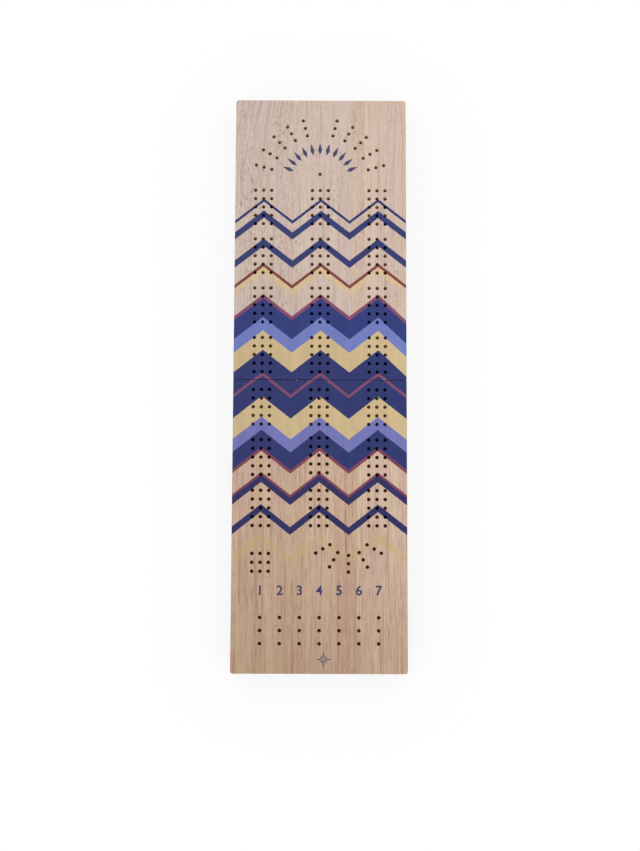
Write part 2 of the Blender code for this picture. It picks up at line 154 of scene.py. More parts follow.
def quarter(steps: int) -> list[float]:
    """The angles of a quarter turn in that many equal steps, from nought up."""
    return [math.pi / 2 * k / steps for k in range(steps + 1)]


# Finishes


@dataclass
class Canvas:
    """The node tree of one material or world while its pattern is drawn up."""

    tree: bpy.types.NodeTree

    def feed(self, socket: bpy.types.NodeSocket, value: Feed) -> None:
        """Feeds an input socket.

        Args:
            socket: The socket.
            value: A node, of which the first live output is taken, another node's socket, or a plain value.
        """
        if isinstance(value, bpy.types.Node):
            value = next(output for output in value.outputs if output.enabled)
        if isinstance(value, bpy.types.NodeSocket):
            self.tree.links.new(value, socket)
        else:
            socket.default_value = value

    def add(self, kind: str, feeds: dict | None = None, **settings) -> bpy.types.Node:
        """Adds a node with its settings and its links.

        Args:
            kind: The node's type without the ShaderNode that starts it.
            feeds: Input name or number to what feeds it: a node, a socket or a value.
            settings: Properties of the node itself.

        Returns:
            The new node.
        """
        node = self.tree.nodes.new(f"ShaderNode{kind}")
        for name, value in settings.items():
            setattr(node, name, value)
        for name, value in (feeds or {}).items():
            self.feed(node.inputs[name], value)
        return node


@dataclass
class Skin(Canvas):
    """A material being drawn up, with its Principled shader and the place on the piece in millimetres."""

    material: bpy.types.Material
    shader: bpy.types.Node
    place: bpy.types.Node

    @classmethod
    def start(cls, name: str) -> "Skin":
        """Makes a material with nothing drawn on it yet.

        Args:
            name: What the material is called.

        Returns:
            The material, ready to be drawn up.
        """
        material = bpy.data.materials.new(name)
        material.use_nodes = True
        canvas = Canvas(material.node_tree)
        where = canvas.add("TexCoord").outputs["Object"]
        place = canvas.add("VectorMath", {0: where, 1: (1 / MM,) * 3}, operation="MULTIPLY")
        return cls(canvas.tree, material, canvas.tree.nodes["Principled BSDF"], place)

    def finish(self, colour: Feed, roughness: Feed, height: Feed, depth: float) -> bpy.types.Material:
        """Links the drawn pattern to the shader.

        Args:
            colour: The base colour.
            roughness: The roughness.
            height: The relief, from about 0 to 1.
            depth: How deep that relief is, in millimetres.

        Returns:
            The finished material.
        """
        relief = self.add("Bump", {"Height": height, "Strength": 1.0, "Distance": depth * MM})
        for name, value in (("Base Color", colour), ("Roughness", roughness), ("Normal", relief)):
            self.feed(self.shader.inputs[name], value)
        return self.material


@dataclass(frozen=True)
class Mottling:
    """A mottled pattern with a real size.

    It has the length of a mottle along X, Y and Z in millimetres, how many finer layers lie over it, how
    strong they are, and the two levels of the pattern between which a mottle comes up in full.
    """

    size: Point
    layers: float = 2.0
    strength: float = 0.55
    low: float = 0.3
    high: float = 0.7

    def laid(self, along: Along) -> "Mottling":
        """The same mottling with its length laid along the grain."""
        across, length, through = self.size
        return self if along is Along.Y else replace(self, size=(length, across, through))

    def draw(self, skin: Skin, place: Feed) -> bpy.types.Node:
        """Draws the raw pattern.

        Args:
            skin: The material being drawn up.
            place: The place on the piece, in millimetres.

        Returns:
            The pattern, most of it between 0.3 and 0.7.
        """
        scaled = skin.add("VectorMath", {0: place, 1: tuple(1 / s for s in self.size)}, operation="MULTIPLY")
        layers = {"Detail": self.layers, "Roughness": self.strength}
        return skin.add("TexNoise", {"Vector": scaled, "Scale": 1.0, **layers})

    def spread(self, skin: Skin, place: Feed, least: float = 0.0, most: float = 1.0) -> bpy.types.Node:
        """Draws the pattern spread out between two values.

        Args:
            skin: The material being drawn up.
            place: The place on the piece, in millimetres.
            least: The value up to the low level.
            most: The value from the high level on.

        Returns:
            The spread pattern.
        """
        ends = {"From Min": self.low, "From Max": self.high, "To Min": least, "To Max": most}
        return skin.add("MapRange", {"Value": self.draw(skin, place), **ends})


@dataclass(frozen=True)
class Strip:
    """One of the strips that a panel is glued up from.

    It has its left edge, its tint, how dark its left joint shows, how thick its pores lie, how far its
    grain leans over at the far end, and how widely it blends into the one before. Only where it blends
    at once is there a glued joint, and the grain starts anew.
    """

    left: float
    tint: str
    joint: float = 0.0
    pores: float = 1.0
    lean: float = 0.0
    blend: float = 0.0


@dataclass(frozen=True)
class Rubberwood:
    """Rubberwood, planed and sanded, then wiped with oil.

    The eye gets straight pale grain that wanders from tan to pink, many short dark pores and a low sheen.
    Its real pores are about 0.2 mm wide. They are drawn twice as wide, so that they show at all.
    """

    name: str
    body: str
    blush: str
    streak: str
    pore: str
    along: Along = Along.Y
    strips: tuple[Strip, ...] = ()
    bends: Mottling = Mottling((26.0, 60.0, 30.0), 1.0)
    blushes: Mottling = Mottling((4.5, 130.0, 7.0), low=0.4, high=0.6)
    streaks: Mottling = Mottling((1.5, 70.0, 3.0), low=0.52, high=0.74)
    fibres: Mottling = Mottling((0.55, 18.0, 0.7), 3.0, 0.65)
    pores: Mottling = Mottling((0.42, 2.6, 0.4), 1.5, low=0.53, high=0.68)
    vessels: Mottling = Mottling((0.4, 13.0, 0.5), 1.0, low=0.58, high=0.7)
    crowds: Mottling = Mottling((7.0, 45.0, 7.0), low=0.36, high=0.6)
    sway: float = 0.7
    streak_share: float = 0.8
    fibre_share: float = 0.5
    pore_share: float = 0.5
    vessel_share: float = 0.3
    least_crowd: float = 0.35
    fibre_height: float = 0.35
    far_tint: str = WHITE
    far_reach: Place = (75.0, 165.0)
    joint_width: float = 0.22
    joint_blur: float = 0.01
    next_stretch: float = 137.0
    lean_from: float = 112.0
    gloss: float = 0.16
    relief: float = 0.04
    relief_range: Place = (-0.7, 0.3)
    rough_range: Place = (0.7, 0.5)

    def lay_strips(self, skin: Skin) -> tuple[Feed, Feed, Feed]:
        """Gives each glued strip its own tint, pores and stretch of grain.

        Args:
            skin: The material being drawn up.

        Returns:
            The tint to multiply by, the share of pores, and the place to take the grain from.
        """
        axes = skin.add("SeparateXYZ", {0: skin.place}).outputs
        first = self.strips[0]
        tint, pores, lean, jump = linear(first.tint), first.pores, first.lean, 0.0
        for strip in self.strips[1:]:
            reach = max(strip.blend, self.joint_blur) / 2
            ends = {"From Min": strip.left - reach, "From Max": strip.left + reach}
            passed = skin.add("MapRange", {"Value": axes[0], **ends})
            tint = skin.add("Mix", {0: passed, 6: tint, 7: linear(strip.tint)}, data_type="RGBA")
            pores = skin.add("Mix", {0: passed, 2: pores, 3: strip.pores})
            lean = skin.add("Mix", {0: passed, 2: lean, 3: strip.lean})
            if not strip.blend:
                jump = skin.add("Math", {0: passed, 1: self.next_stretch, 2: jump}, operation="MULTIPLY_ADD")
            if strip.joint:
                line = {0: axes[0], 1: strip.left, 2: self.joint_width / 2}
                glued = skin.add("Math", line, operation="COMPARE")
                kept = skin.add("Math", {0: glued, 1: -strip.joint, 2: 1.0}, operation="MULTIPLY_ADD")
                tint = skin.add("VectorMath", {0: tint, 1: kept}, operation="MULTIPLY")
        past = skin.add("Math", {0: axes[1], 1: self.lean_from}, operation="SUBTRACT")
        past = skin.add("Math", {0: past, 1: 0.0}, operation="MAXIMUM")
        past = skin.add("Math", {0: past, 1: past}, operation="MULTIPLY")
        shift = skin.add("Math", {0: past, 1: lean}, operation="MULTIPLY")
        from_seam = skin.add("Math", {0: axes[1]}, operation="ABSOLUTE")
        ends = {"From Min": self.far_reach[0], "From Max": self.far_reach[1]}
        far = skin.add("MapRange", {"Value": from_seam, **ends})
        deeper = skin.add("Mix", {0: far, 6: linear(WHITE), 7: linear(self.far_tint)}, data_type="RGBA")
        tint = skin.add("VectorMath", {0: tint, 1: deeper}, operation="MULTIPLY")
        offset = skin.add("CombineXYZ", {0: shift, 1: jump})
        return tint, pores, skin.add("VectorMath", {0: skin.place, 1: offset}, operation="ADD")

    def draw(self, skin: Skin) -> tuple[bpy.types.Node, bpy.types.Node, bpy.types.Node]:
        """Draws the wood's figure.

        Args:
            skin: The material being drawn up.

        Returns:
            The colour, the relief, and how much of a place is open pore.
        """
        tint, share, place = self.lay_strips(skin) if self.strips else (linear(WHITE), 1.0, skin.place)
        along = self.along
        swing = self.bends.laid(along).spread(skin, place, -self.sway, self.sway)
        offset = skin.add("CombineXYZ", {0 if along is Along.Y else 1: swing})
        bent = skin.add("VectorMath", {0: place, 1: offset}, operation="ADD")
        flush = self.blushes.laid(along).spread(skin, bent)
        tone = skin.add("Mix", {0: flush, 6: linear(self.body), 7: linear(self.blush)}, data_type="RGBA")
        dusk = self.streaks.laid(along).spread(skin, bent, 0.0, self.streak_share)
        tone = skin.add("Mix", {0: dusk, 6: tone, 7: linear(self.streak)}, data_type="RGBA")
        fibres = self.fibres.laid(along).draw(skin, bent)
        ends = {"From Min": self.fibres.low, "From Max": self.fibres.high, "To Min": self.fibre_share}
        dark_fibre = skin.add("MapRange", {"Value": fibres, **ends, "To Max": 0.0})
        tone = skin.add("Mix", {0: dark_fibre, 6: tone, 7: linear(self.streak)}, data_type="RGBA")
        tone = skin.add("Mix", {0: 1.0, 6: tone, 7: tint}, data_type="RGBA", blend_type="MULTIPLY")
        crowd = self.crowds.laid(along).spread(skin, bent, self.least_crowd)
        crowd = skin.add("Math", {0: crowd, 1: share}, operation="MULTIPLY")
        pores = self.pores.laid(along).spread(skin, bent)
        pores = skin.add("Math", {0: pores, 1: crowd}, operation="MULTIPLY")
        vessels = self.vessels.laid(along).spread(skin, bent)
        stain = skin.add("Math", {0: pores, 1: self.pore_share}, operation="MULTIPLY")
        stain = skin.add("Math", {0: vessels, 1: self.vessel_share, 2: stain}, operation="MULTIPLY_ADD")
        tone = skin.add("Mix", {0: stain, 6: tone, 7: linear(self.pore)}, data_type="RGBA")
        open_pore = skin.add("Math", {0: pores, 1: vessels}, operation="MAXIMUM")
        ridges = skin.add("Math", {0: fibres, 1: self.fibre_height}, operation="MULTIPLY")
        relief = skin.add("Math", {0: ridges, 1: open_pore}, operation="SUBTRACT")
        return tone, relief, open_pore

    def material(self) -> bpy.types.Material:
        """Draws up the bare oiled wood.

        Returns:
            The material.
        """
        skin = Skin.start(self.name)
        tone, relief, _ = self.draw(skin)
        (low, high), (rough_low, rough_high) = self.relief_range, self.rough_range
        ends = {"From Min": low, "From Max": high, "To Min": rough_low, "To Max": rough_high}
        rough = skin.add("MapRange", {"Value": relief, **ends})
        skin.shader.inputs["Specular IOR Level"].default_value = self.gloss
        return skin.finish(tone, rough, relief, self.relief)


@dataclass(frozen=True)
class Ink:
    """A screen-printing ink: flat, thin and satin. Where it covers less, the wood shows through."""

    colour: str
    cover: float = 1.0


BARE = Ink("#C8B090", 0.0)
NAVY = Ink("#252F68")
NAVY_BLUER = Ink("#263473")
NAVY_WASHED = Ink("#2D3569")
DUSK_NAVY = Ink("#28275A")
PERIWINKLE = Ink("#6E79BB")
DUSK_PERIWINKLE = Ink("#7173B2")
STRAW = Ink("#CBB388", 0.98)
ROSE = Ink("#804663")
BERRY = Ink("#7C3850", 0.98)
BRICK = Ink("#773835", 0.98)
PALE_STRAW = Ink("#DABD7C", 0.58)
FAINT_STRAW = Ink("#C2AA6A", 0.38)


@dataclass(frozen=True)
class Stripe:
    """One printed stripe: the height over a peak that it starts from, its ink, and how soft that edge is."""

    start: float
    ink: Ink
    soft: float = 0.1


@dataclass(frozen=True)
class Stretch:
    """A part of the screen that was stretched: between two heights, the stripes sink towards the right.

    From that X on they sink by the extra for every millimetre.
    """

    from_x: float
    low: float
    high: float
    extra: float


@dataclass(frozen=True)
class Zigzag:
    """The printed zigzags of one half, from the lowest stripe up."""

    peak_x: float
    stripes: tuple[Stripe, ...]
    pitch: float = 33.9
    rise: float = 13.3
    stretch: Stretch | None = None
    frays: Mottling = Mottling((0.7, 1.8, 0.7))
    ragged: float = 0.12

    def level(self, skin: Skin) -> bpy.types.Node:
        """Measures how high each place lies over the peaks of a zigzag through it.

        Args:
            skin: The material being drawn up.

        Returns:
            That height in millimetres, frayed as the edge of an ink is.
        """
        axes = skin.add("SeparateXYZ", {0: skin.place}).outputs
        fray = self.frays.spread(skin, skin.place, -self.ragged, self.ragged)
        from_peak = skin.add("Math", {0: axes[0], 1: self.peak_x}, operation="SUBTRACT")
        fall = skin.add("Math", {0: from_peak, 1: self.pitch / 2}, operation="PINGPONG")
        slope = 2 * self.rise / self.pitch
        level = skin.add("Math", {0: fall, 1: slope, 2: axes[1]}, operation="MULTIPLY_ADD")
        level = skin.add("Math", {0: level, 1: fray}, operation="ADD")
        if self.stretch:
            beyond = skin.add("Math", {0: axes[0], 1: self.stretch.from_x}, operation="SUBTRACT")
            beyond = skin.add("Math", {0: beyond, 1: 0.0}, operation="MAXIMUM")
            above = skin.add("Math", {0: level, 1: self.stretch.low}, operation="GREATER_THAN")
            below = skin.add("Math", {0: level, 1: self.stretch.high}, operation="LESS_THAN")
            extra = skin.add("Math", {0: above, 1: below}, operation="MULTIPLY")
            extra = skin.add("Math", {0: extra, 1: self.stretch.extra}, operation="MULTIPLY")
            level = skin.add("Math", {0: beyond, 1: extra, 2: level}, operation="MULTIPLY_ADD")
        return level

    def draw(self, skin: Skin) -> tuple[bpy.types.Node, bpy.types.Node]:
        """Draws the stripes.

        Args:
            skin: The material being drawn up.

        Returns:
            The ink's colour and its cover.
        """
        level = self.level(skin)
        first = self.stripes[0].ink
        colour, cover = linear(first.colour), first.cover
        for stripe in self.stripes[1:]:
            ends = {"From Min": stripe.start - stripe.soft / 2, "From Max": stripe.start + stripe.soft / 2}
            passed = skin.add("MapRange", {"Value": level, **ends})
            colour = skin.add("Mix", {0: passed, 6: colour, 7: linear(stripe.ink.colour)}, data_type="RGBA")
            cover = skin.add("Mix", {0: passed, 2: cover, 3: stripe.ink.cover})
        return colour, cover


@dataclass(frozen=True)
class PrintedWood:
    """Oiled rubberwood with screen-printed stripes, the ink chipped along the seam and the arris there
    darkened with painted shade.

    The ink gives flat colour with a slightly smoother sheen, and a painted sheen makes it paler towards the
    right.
    Thin ink is patchy, and the deepest pores just show in it.
    """

    name: str
    wood: Rubberwood
    zigzag: Zigzag
    face_z: float
    ink_reach: float = 0.3
    # The painted sheen: how much paler the ink gets from left to right, and over what reach.
    ink_tones: Place = (0.965, 1.075)
    tone_reach: float = 50.0
    clouds: Mottling = Mottling((5.0, 22.0, 5.0), 3.0)
    cloud_tones: Place = (0.93, 1.07)
    patches: Mottling = Mottling((6.0, 7.0, 6.0), low=0.35, high=0.65)
    patch_losses: Place = (-0.8, 1.0)
    pore_loss: float = 0.02
    flakes: Mottling = Mottling((2.2, 0.9, 1.0))
    flake_level: float = 0.69
    chip_reach: float = 0.6
    # Painted shade along the seam: its near-black colour, how far from the seam, how far down and how
    # strongly it is mixed in.
    grime: str = "#15131A"
    grime_reach: float = 0.19
    grime_depth: float = 1.6
    grime_share: float = 0.7
    pore_fill: float = 0.85
    ink_height: float = 0.15
    bare_roughness: float = 0.58
    ink_roughness: float = 0.46

    def worn(self, skin: Skin, cover: Feed, open_pore: Feed, from_seam: Feed) -> bpy.types.Node:
        """Wears the ink: patchy where it is thin, broken over pores, and chipped along the seam.

        Args:
            skin: The material being drawn up.
            cover: How much the ink covers where it is whole.
            open_pore: How much of a place is open pore.
            from_seam: How far a place is from the seam, in millimetres.

        Returns:
            How much the worn ink covers.
        """
        thin = skin.add("Math", {0: 1.0, 1: cover}, operation="SUBTRACT")
        lost = self.patches.spread(skin, skin.place, *self.patch_losses)
        lost = skin.add("Math", {0: lost, 1: thin}, operation="MULTIPLY")
        held = skin.add("Math", {0: 1.0, 1: lost}, operation="SUBTRACT")
        cover = skin.add("Math", {0: cover, 1: held}, operation="MULTIPLY")
        broken = skin.add("Math", {0: open_pore, 1: -self.pore_loss, 2: 1.0}, operation="MULTIPLY_ADD")
        cover = skin.add("Math", {0: cover, 1: broken}, operation="MULTIPLY")
        flakes = self.flakes.draw(skin, skin.place)
        flaked = skin.add("Math", {0: flakes, 1: self.flake_level}, operation="GREATER_THAN")
        near = skin.add("Math", {0: from_seam, 1: self.chip_reach}, operation="LESS_THAN")
        chipped = skin.add("Math", {0: flaked, 1: near}, operation="MULTIPLY")
        kept = skin.add("Math", {0: 1.0, 1: chipped}, operation="SUBTRACT")
        return skin.add("Math", {0: cover, 1: kept}, operation="MULTIPLY")

    def toned(self, skin: Skin, ink: Feed, across: Feed) -> bpy.types.Node:
        """Clouds the ink a little, and paints a sheen on it that makes it paler from left to right.

        Args:
            skin: The material being drawn up.
            ink: The ink's own colour.
            across: The X of a place, in millimetres.

        Returns:
            The clouded colour with its painted sheen.
        """
        cloudy = self.clouds.spread(skin, skin.place, *self.cloud_tones)
        # Painted sheen: the ink is lightened from left to right, as glare off it would lighten it.
        ends = {"From Min": -self.tone_reach, "From Max": self.tone_reach}
        ends |= {"To Min": self.ink_tones[0], "To Max": self.ink_tones[1]}
        paler = skin.add("MapRange", {"Value": across, **ends})
        tone = skin.add("Math", {0: cloudy, 1: paler}, operation="MULTIPLY")
        return skin.add("VectorMath", {0: ink, 1: tone}, operation="MULTIPLY")

    def soiled(self, skin: Skin, colour: Feed, from_seam: Feed, height: Feed) -> bpy.types.Node:
        """Paints shade on the arris along the seam, where the gap between the halves is dark, less and less
        from the face down.

        Args:
            skin: The material being drawn up.
            colour: The colour without the painted shade.
            from_seam: How far a place is from the seam, in millimetres.
            height: How high it is, in millimetres.

        Returns:
            The colour with the painted shade.
        """
        # Painted shade: near-black mixed into the arris close to the seam, fading out further down into the
        # gap.
        near = skin.add("Math", {0: from_seam, 1: self.grime_reach}, operation="LESS_THAN")
        ends = {"From Min": self.face_z - self.grime_depth, "From Max": self.face_z - self.ink_reach}
        near_face = skin.add("MapRange", {"Value": height, **ends, "To Max": self.grime_share})
        share = skin.add("Math", {0: near, 1: near_face}, operation="MULTIPLY")
        return skin.add("Mix", {0: share, 6: colour, 7: linear(self.grime)}, data_type="RGBA")

    def material(self) -> bpy.types.Material:
        """Draws up the printed wood.

        Returns:
            The material.
        """
        skin = Skin.start(self.name)
        tone, relief, open_pore = self.wood.draw(skin)
        ink, cover = self.zigzag.draw(skin)
        axes = skin.add("SeparateXYZ", {0: skin.place}).outputs
        on_face = skin.add("Math", {0: axes[2], 1: self.face_z - self.ink_reach}, operation="GREATER_THAN")
        cover = skin.add("Math", {0: cover, 1: on_face}, operation="MULTIPLY")
        from_seam = skin.add("Math", {0: axes[1]}, operation="ABSOLUTE")
        cover = self.worn(skin, cover, open_pore, from_seam)
        ink = self.toned(skin, ink, axes[0])
        colour = skin.add("Mix", {0: cover, 6: tone, 7: ink}, data_type="RGBA")
        colour = self.soiled(skin, colour, from_seam, axes[2])
        filled = skin.add("Math", {0: cover, 1: -self.pore_fill, 2: 1.0}, operation="MULTIPLY_ADD")
        relief = skin.add("Math", {0: relief, 1: filled}, operation="MULTIPLY")
        relief = skin.add("Math", {0: cover, 1: self.ink_height, 2: relief}, operation="MULTIPLY_ADD")
        ends = {"To Min": self.bare_roughness, "To Max": self.ink_roughness}
        rough = skin.add("MapRange", {"Value": cover, **ends})
        skin.shader.inputs["Specular IOR Level"].default_value = self.wood.gloss
        return skin.finish(colour, rough, relief, self.wood.relief)


@dataclass(frozen=True)
class ScorchedBore:
    """The wall of a drilled hole: raw wood ringed and burnt by the bit, darkened where ink ran in.

    Its burnt colour is partly painted shade of the deep narrow bore, and in the lower half its raw colour is
    too.
    The eye gets a dark, matt hole that is browner than the face round it.
    """

    name: str
    raw: str
    # Burnt by the bit, and darker still as painted shade of the deep narrow bore.
    scorched: str
    zigzag: Zigzag
    rings: Mottling = Mottling((1.5, 1.5, 0.3), low=0.35)
    rough_range: Place = (0.95, 0.75)
    ring_depth: float = 0.04

    def material(self) -> bpy.types.Material:
        """Draws up the burnt wood with its painted shade.

        Returns:
            The material.
        """
        skin = Skin.start(self.name)
        rings = self.rings.draw(skin, skin.place)
        ends = {"From Min": self.rings.low, "From Max": self.rings.high}
        share = skin.add("MapRange", {"Value": rings, **ends})
        tone = skin.add("Mix", {0: share, 6: linear(self.scorched), 7: linear(self.raw)}, data_type="RGBA")
        ink, cover = self.zigzag.draw(skin)
        tone = skin.add("Mix", {0: cover, 6: tone, 7: ink}, data_type="RGBA")
        ends = {"To Min": self.rough_range[0], "To Max": self.rough_range[1]}
        rough = skin.add("MapRange", {"Value": rings, **ends})
        return skin.finish(tone, rough, rings, self.ring_depth)


@dataclass(frozen=True)
class Metal:
    """A metal whose brushing or plating shows as fine lines, with duller tarnished patches.

    Real brush lines are under 0.05 mm wide, so they are drawn a few times coarser to show at all.
    """

    name: str
    colour: str
    tarnish: str
    roughness: float
    brush: Mottling
    patches: Mottling = Mottling((7.0, 7.0, 7.0), low=0.45)
    smoother: float = 0.08
    rougher: float = 0.1
    tarnish_rougher: float = 0.12
    line_depth: float = 0.0015

    def material(self) -> bpy.types.Material:
        """Draws up the metal.

        Returns:
            The material.
        """
        skin = Skin.start(self.name)
        lines = self.brush.draw(skin, skin.place)
        dull = self.patches.spread(skin, skin.place)
        tone = skin.add("Mix", {0: dull, 6: linear(self.colour), 7: linear(self.tarnish)}, data_type="RGBA")
        ends = {"From Min": self.brush.low, "From Max": self.brush.high}
        ends |= {"To Min": self.roughness - self.smoother, "To Max": self.roughness + self.rougher}
        rough = skin.add("MapRange", {"Value": lines, **ends})
        rough = skin.add("Math", {0: dull, 1: self.tarnish_rougher, 2: rough}, operation="MULTIPLY_ADD")
        skin.shader.inputs["Metallic"].default_value = 1.0
        return skin.finish(tone, rough, lines, self.line_depth)


@dataclass(frozen=True)
class Moulded:
    """A moulded plastic or rubber: a faint orange peel from the mould, paler where it has been scuffed."""

    name: str
    colour: str
    scuff: str
    roughness: float
    peel: float
    ior: float
    scuffs: Mottling = Mottling((1.6, 1.6, 1.6), 4.0, 0.7, low=0.5, high=0.8)
    scuff_share: float = 0.4
    scuff_rougher: float = 0.3
    peel_depth: float = 0.012

    def material(self) -> bpy.types.Material:
        """Draws up the moulded skin.

        Returns:
            The material.
        """
        skin = Skin.start(self.name)
        peel = Mottling((self.peel,) * 3).draw(skin, skin.place)
        share = self.scuffs.spread(skin, skin.place, 0.0, self.scuff_share)
        tone = skin.add("Mix", {0: share, 6: linear(self.colour), 7: linear(self.scuff)}, data_type="RGBA")
        ends = {"To Min": self.roughness, "To Max": self.roughness + self.scuff_rougher}
        rough = skin.add("MapRange", {"Value": share, **ends})
        skin.shader.inputs["IOR"].default_value = self.ior
        return skin.finish(tone, rough, peel, self.peel_depth)


# Meshes


def turned(profile: Profile, steps: int, placed: Matrix) -> bmesh.types.BMesh:
    """Turns a closed solid round Z.

    Args:
        profile: Radius and height of each point, from one end on the axis to the other.
        steps: How many sides it has.
        placed: Where it stands, in millimetres.

    Returns:
        The solid.
    """
    draft = bmesh.new()
    rings = []
    for radius, height in profile:
        count = 1 if radius < ON_AXIS else steps
        turns = [2 * math.pi * k / steps for k in range(count)]
        rings.append([draft.verts.new((radius * math.cos(t), radius * math.sin(t), height)) for t in turns])
    for above, below in zip(rings, rings[1:]):
        for k in range(steps):
            after = (k + 1) % steps
            around = [above[k % len(above)], above[after % len(above)]]
            around += [below[after % len(below)], below[k % len(below)]]
            loop = list(dict.fromkeys(around))
            if len(loop) > 2:
                draft.faces.new(loop)
    bmesh.ops.recalc_face_normals(draft, faces=draft.faces)
    bmesh.ops.transform(draft, matrix=placed, verts=draft.verts)
    return draft


def block(low: Sequence[float], high: Sequence[float], ease: Callable[[Vector], float]) -> bmesh.types.BMesh:
    """Makes a block whose edges are each rounded by their own radius.

    Args:
        low: Its lowest corner.
        high: Its highest corner.
        ease: Gives the radius of an edge from its middle, in the block's terms from -1 to 1.

    Returns:
        The block.
    """
    draft = bmesh.new()
    bmesh.ops.create_cube(draft, size=2.0)
    radii = {}
    for edge in draft.edges:
        middle = (edge.verts[0].co + edge.verts[1].co) / 2
        radii.setdefault(round(ease(middle), 3), []).append(edge)
    half = (Vector(high) - Vector(low)) / 2
    placed = Matrix.Translation((Vector(high) + Vector(low)) / 2) @ Matrix.Diagonal((*half, 1.0))
    bmesh.ops.transform(draft, matrix=placed, verts=draft.verts)
    for radius in sorted(radii, reverse=True):
        edges = [edge for edge in radii[radius] if edge.is_valid]
        if radius > 0:
            shape = {"segments": EASE_SEGMENTS, "profile": 0.5, "clamp_overlap": True}
            bmesh.ops.bevel(draft, geom=edges, offset=radius, affect="EDGES", **shape)
    return draft


def bore(x: float, y: float, radius: float, low: float, high: float, flare: float = 0.0) -> bmesh.types.BMesh:
    """Makes a cutter for an upright hole that opens downwards.

    Args:
        x: The X of its axis.
        y: The Y of its axis.
        radius: Its radius.
        low: The height of its mouth.
        high: The height of its end.
        flare: How far the mouth is flared.

    Returns:
        The cutter.
    """
    wide, below = radius + flare, low - CLEAR
    profile = [(0, high), (radius, high), (radius, low + flare), (wide, low), (wide, below), (0, below)]
    return turned(profile, ROUND_SIDES, Matrix.Translation((x, y, 0)))


def slab(low: Sequence[float], high: Sequence[float]) -> bmesh.types.BMesh:
    """A cutter with plain square edges."""
    return block(low, high, lambda middle: 0.0)


def joined(drafts: Iterable[bmesh.types.BMesh]) -> bmesh.types.BMesh:
    """Puts drafts that don't touch one another together as one.

    Args:
        drafts: The drafts, which are used up.

    Returns:
        The one draft.
    """
    whole = bmesh.new()
    for draft in drafts:
        mesh = bpy.data.meshes.new("joined")
        draft.to_mesh(mesh)
        draft.free()
        whole.from_mesh(mesh)
        bpy.data.meshes.remove(mesh)
    return whole


@dataclass
class Piece:
    """One piece of the board on its way from a mesh to its place in the frame."""

    name: str
    draft: bmesh.types.BMesh
    materials: Sequence[bpy.types.Material]
    cutters: Sequence[bmesh.types.BMesh] = ()
    additions: Sequence[bmesh.types.BMesh] = ()
    flat_sided: bool = True

    def as_object(self, name: str, draft: bmesh.types.BMesh) -> bpy.types.Object:
        """Writes a draft to an object, in metres.

        Args:
            name: The object's name.
            draft: The draft, which is used up.

        Returns:
            The object.
        """
        bmesh.ops.transform(draft, matrix=Matrix.Scale(MM, 4), verts=draft.verts)
        mesh = bpy.data.meshes.new(name)
        draft.to_mesh(mesh)
        draft.free()
        made = bpy.data.objects.new(name, mesh)
        bpy.context.scene.collection.objects.link(made)
        return made

    def apply_modifiers(self, made: bpy.types.Object) -> None:
        """Makes the modifiers' result the object's own mesh.

        Args:
            made: The object.
        """
        shaped = made.evaluated_get(bpy.context.evaluated_depsgraph_get())
        mesh = bpy.data.meshes.new_from_object(shaped)
        made.modifiers.clear()
        spare, made.data = made.data, mesh
        bpy.data.meshes.remove(spare)
        mesh.name = made.name

    def build(self, body: str, slot: str, *nodes: str) -> bpy.types.Object:
        """Shapes and shades the piece, and sets it on the frame.

        Args:
            body: The body of the frame that it rides on.
            slot: The name of a material slot; it is not used.
            nodes: The nodes of the frame that it stands for.

        Returns:
            The piece.
        """
        made = self.as_object(self.name, self.draft)
        for material in self.materials:
            made.data.materials.append(material)
        tools = []
        for operation, drafts in (("UNION", self.additions), ("DIFFERENCE", self.cutters)):
            for draft in drafts:
                tool = self.as_object("tool", draft)
                step = made.modifiers.new(operation.lower(), "BOOLEAN")
                step.operation, step.object, step.solver = operation, tool, "EXACT"
                tools.append(tool)
        if tools:
            self.apply_modifiers(made)
        for tool in tools:
            spare = tool.data
            bpy.data.objects.remove(tool)
            bpy.data.meshes.remove(spare)
        made.data.shade_smooth()
        made.data.set_sharp_from_angle(angle=SMOOTH_ANGLE)
        if self.flat_sided:
            weighted = made.modifiers.new("flat_faces", "WEIGHTED_NORMAL")
            weighted.keep_sharp = True
            self.apply_modifiers(made)
        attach(made, body)
        if nodes:
            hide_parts(*nodes)
        LOG.info("%s: %d faces, on %s", self.name, len(made.data.polygons), body)
        return made


# The playing panels


@dataclass(frozen=True)
class RimPoint:
    """A point of a panel's outline: its place, which way is outwards, and how round the top edge is there."""

    x: float
    y: float
    out_x: float
    out_y: float
    ease: float

    def inwards(self, reach: float, height: float) -> Point:
        """The place that far in from the outline, at that height."""
        return self.x - self.out_x * reach, self.y - self.out_y * reach, height


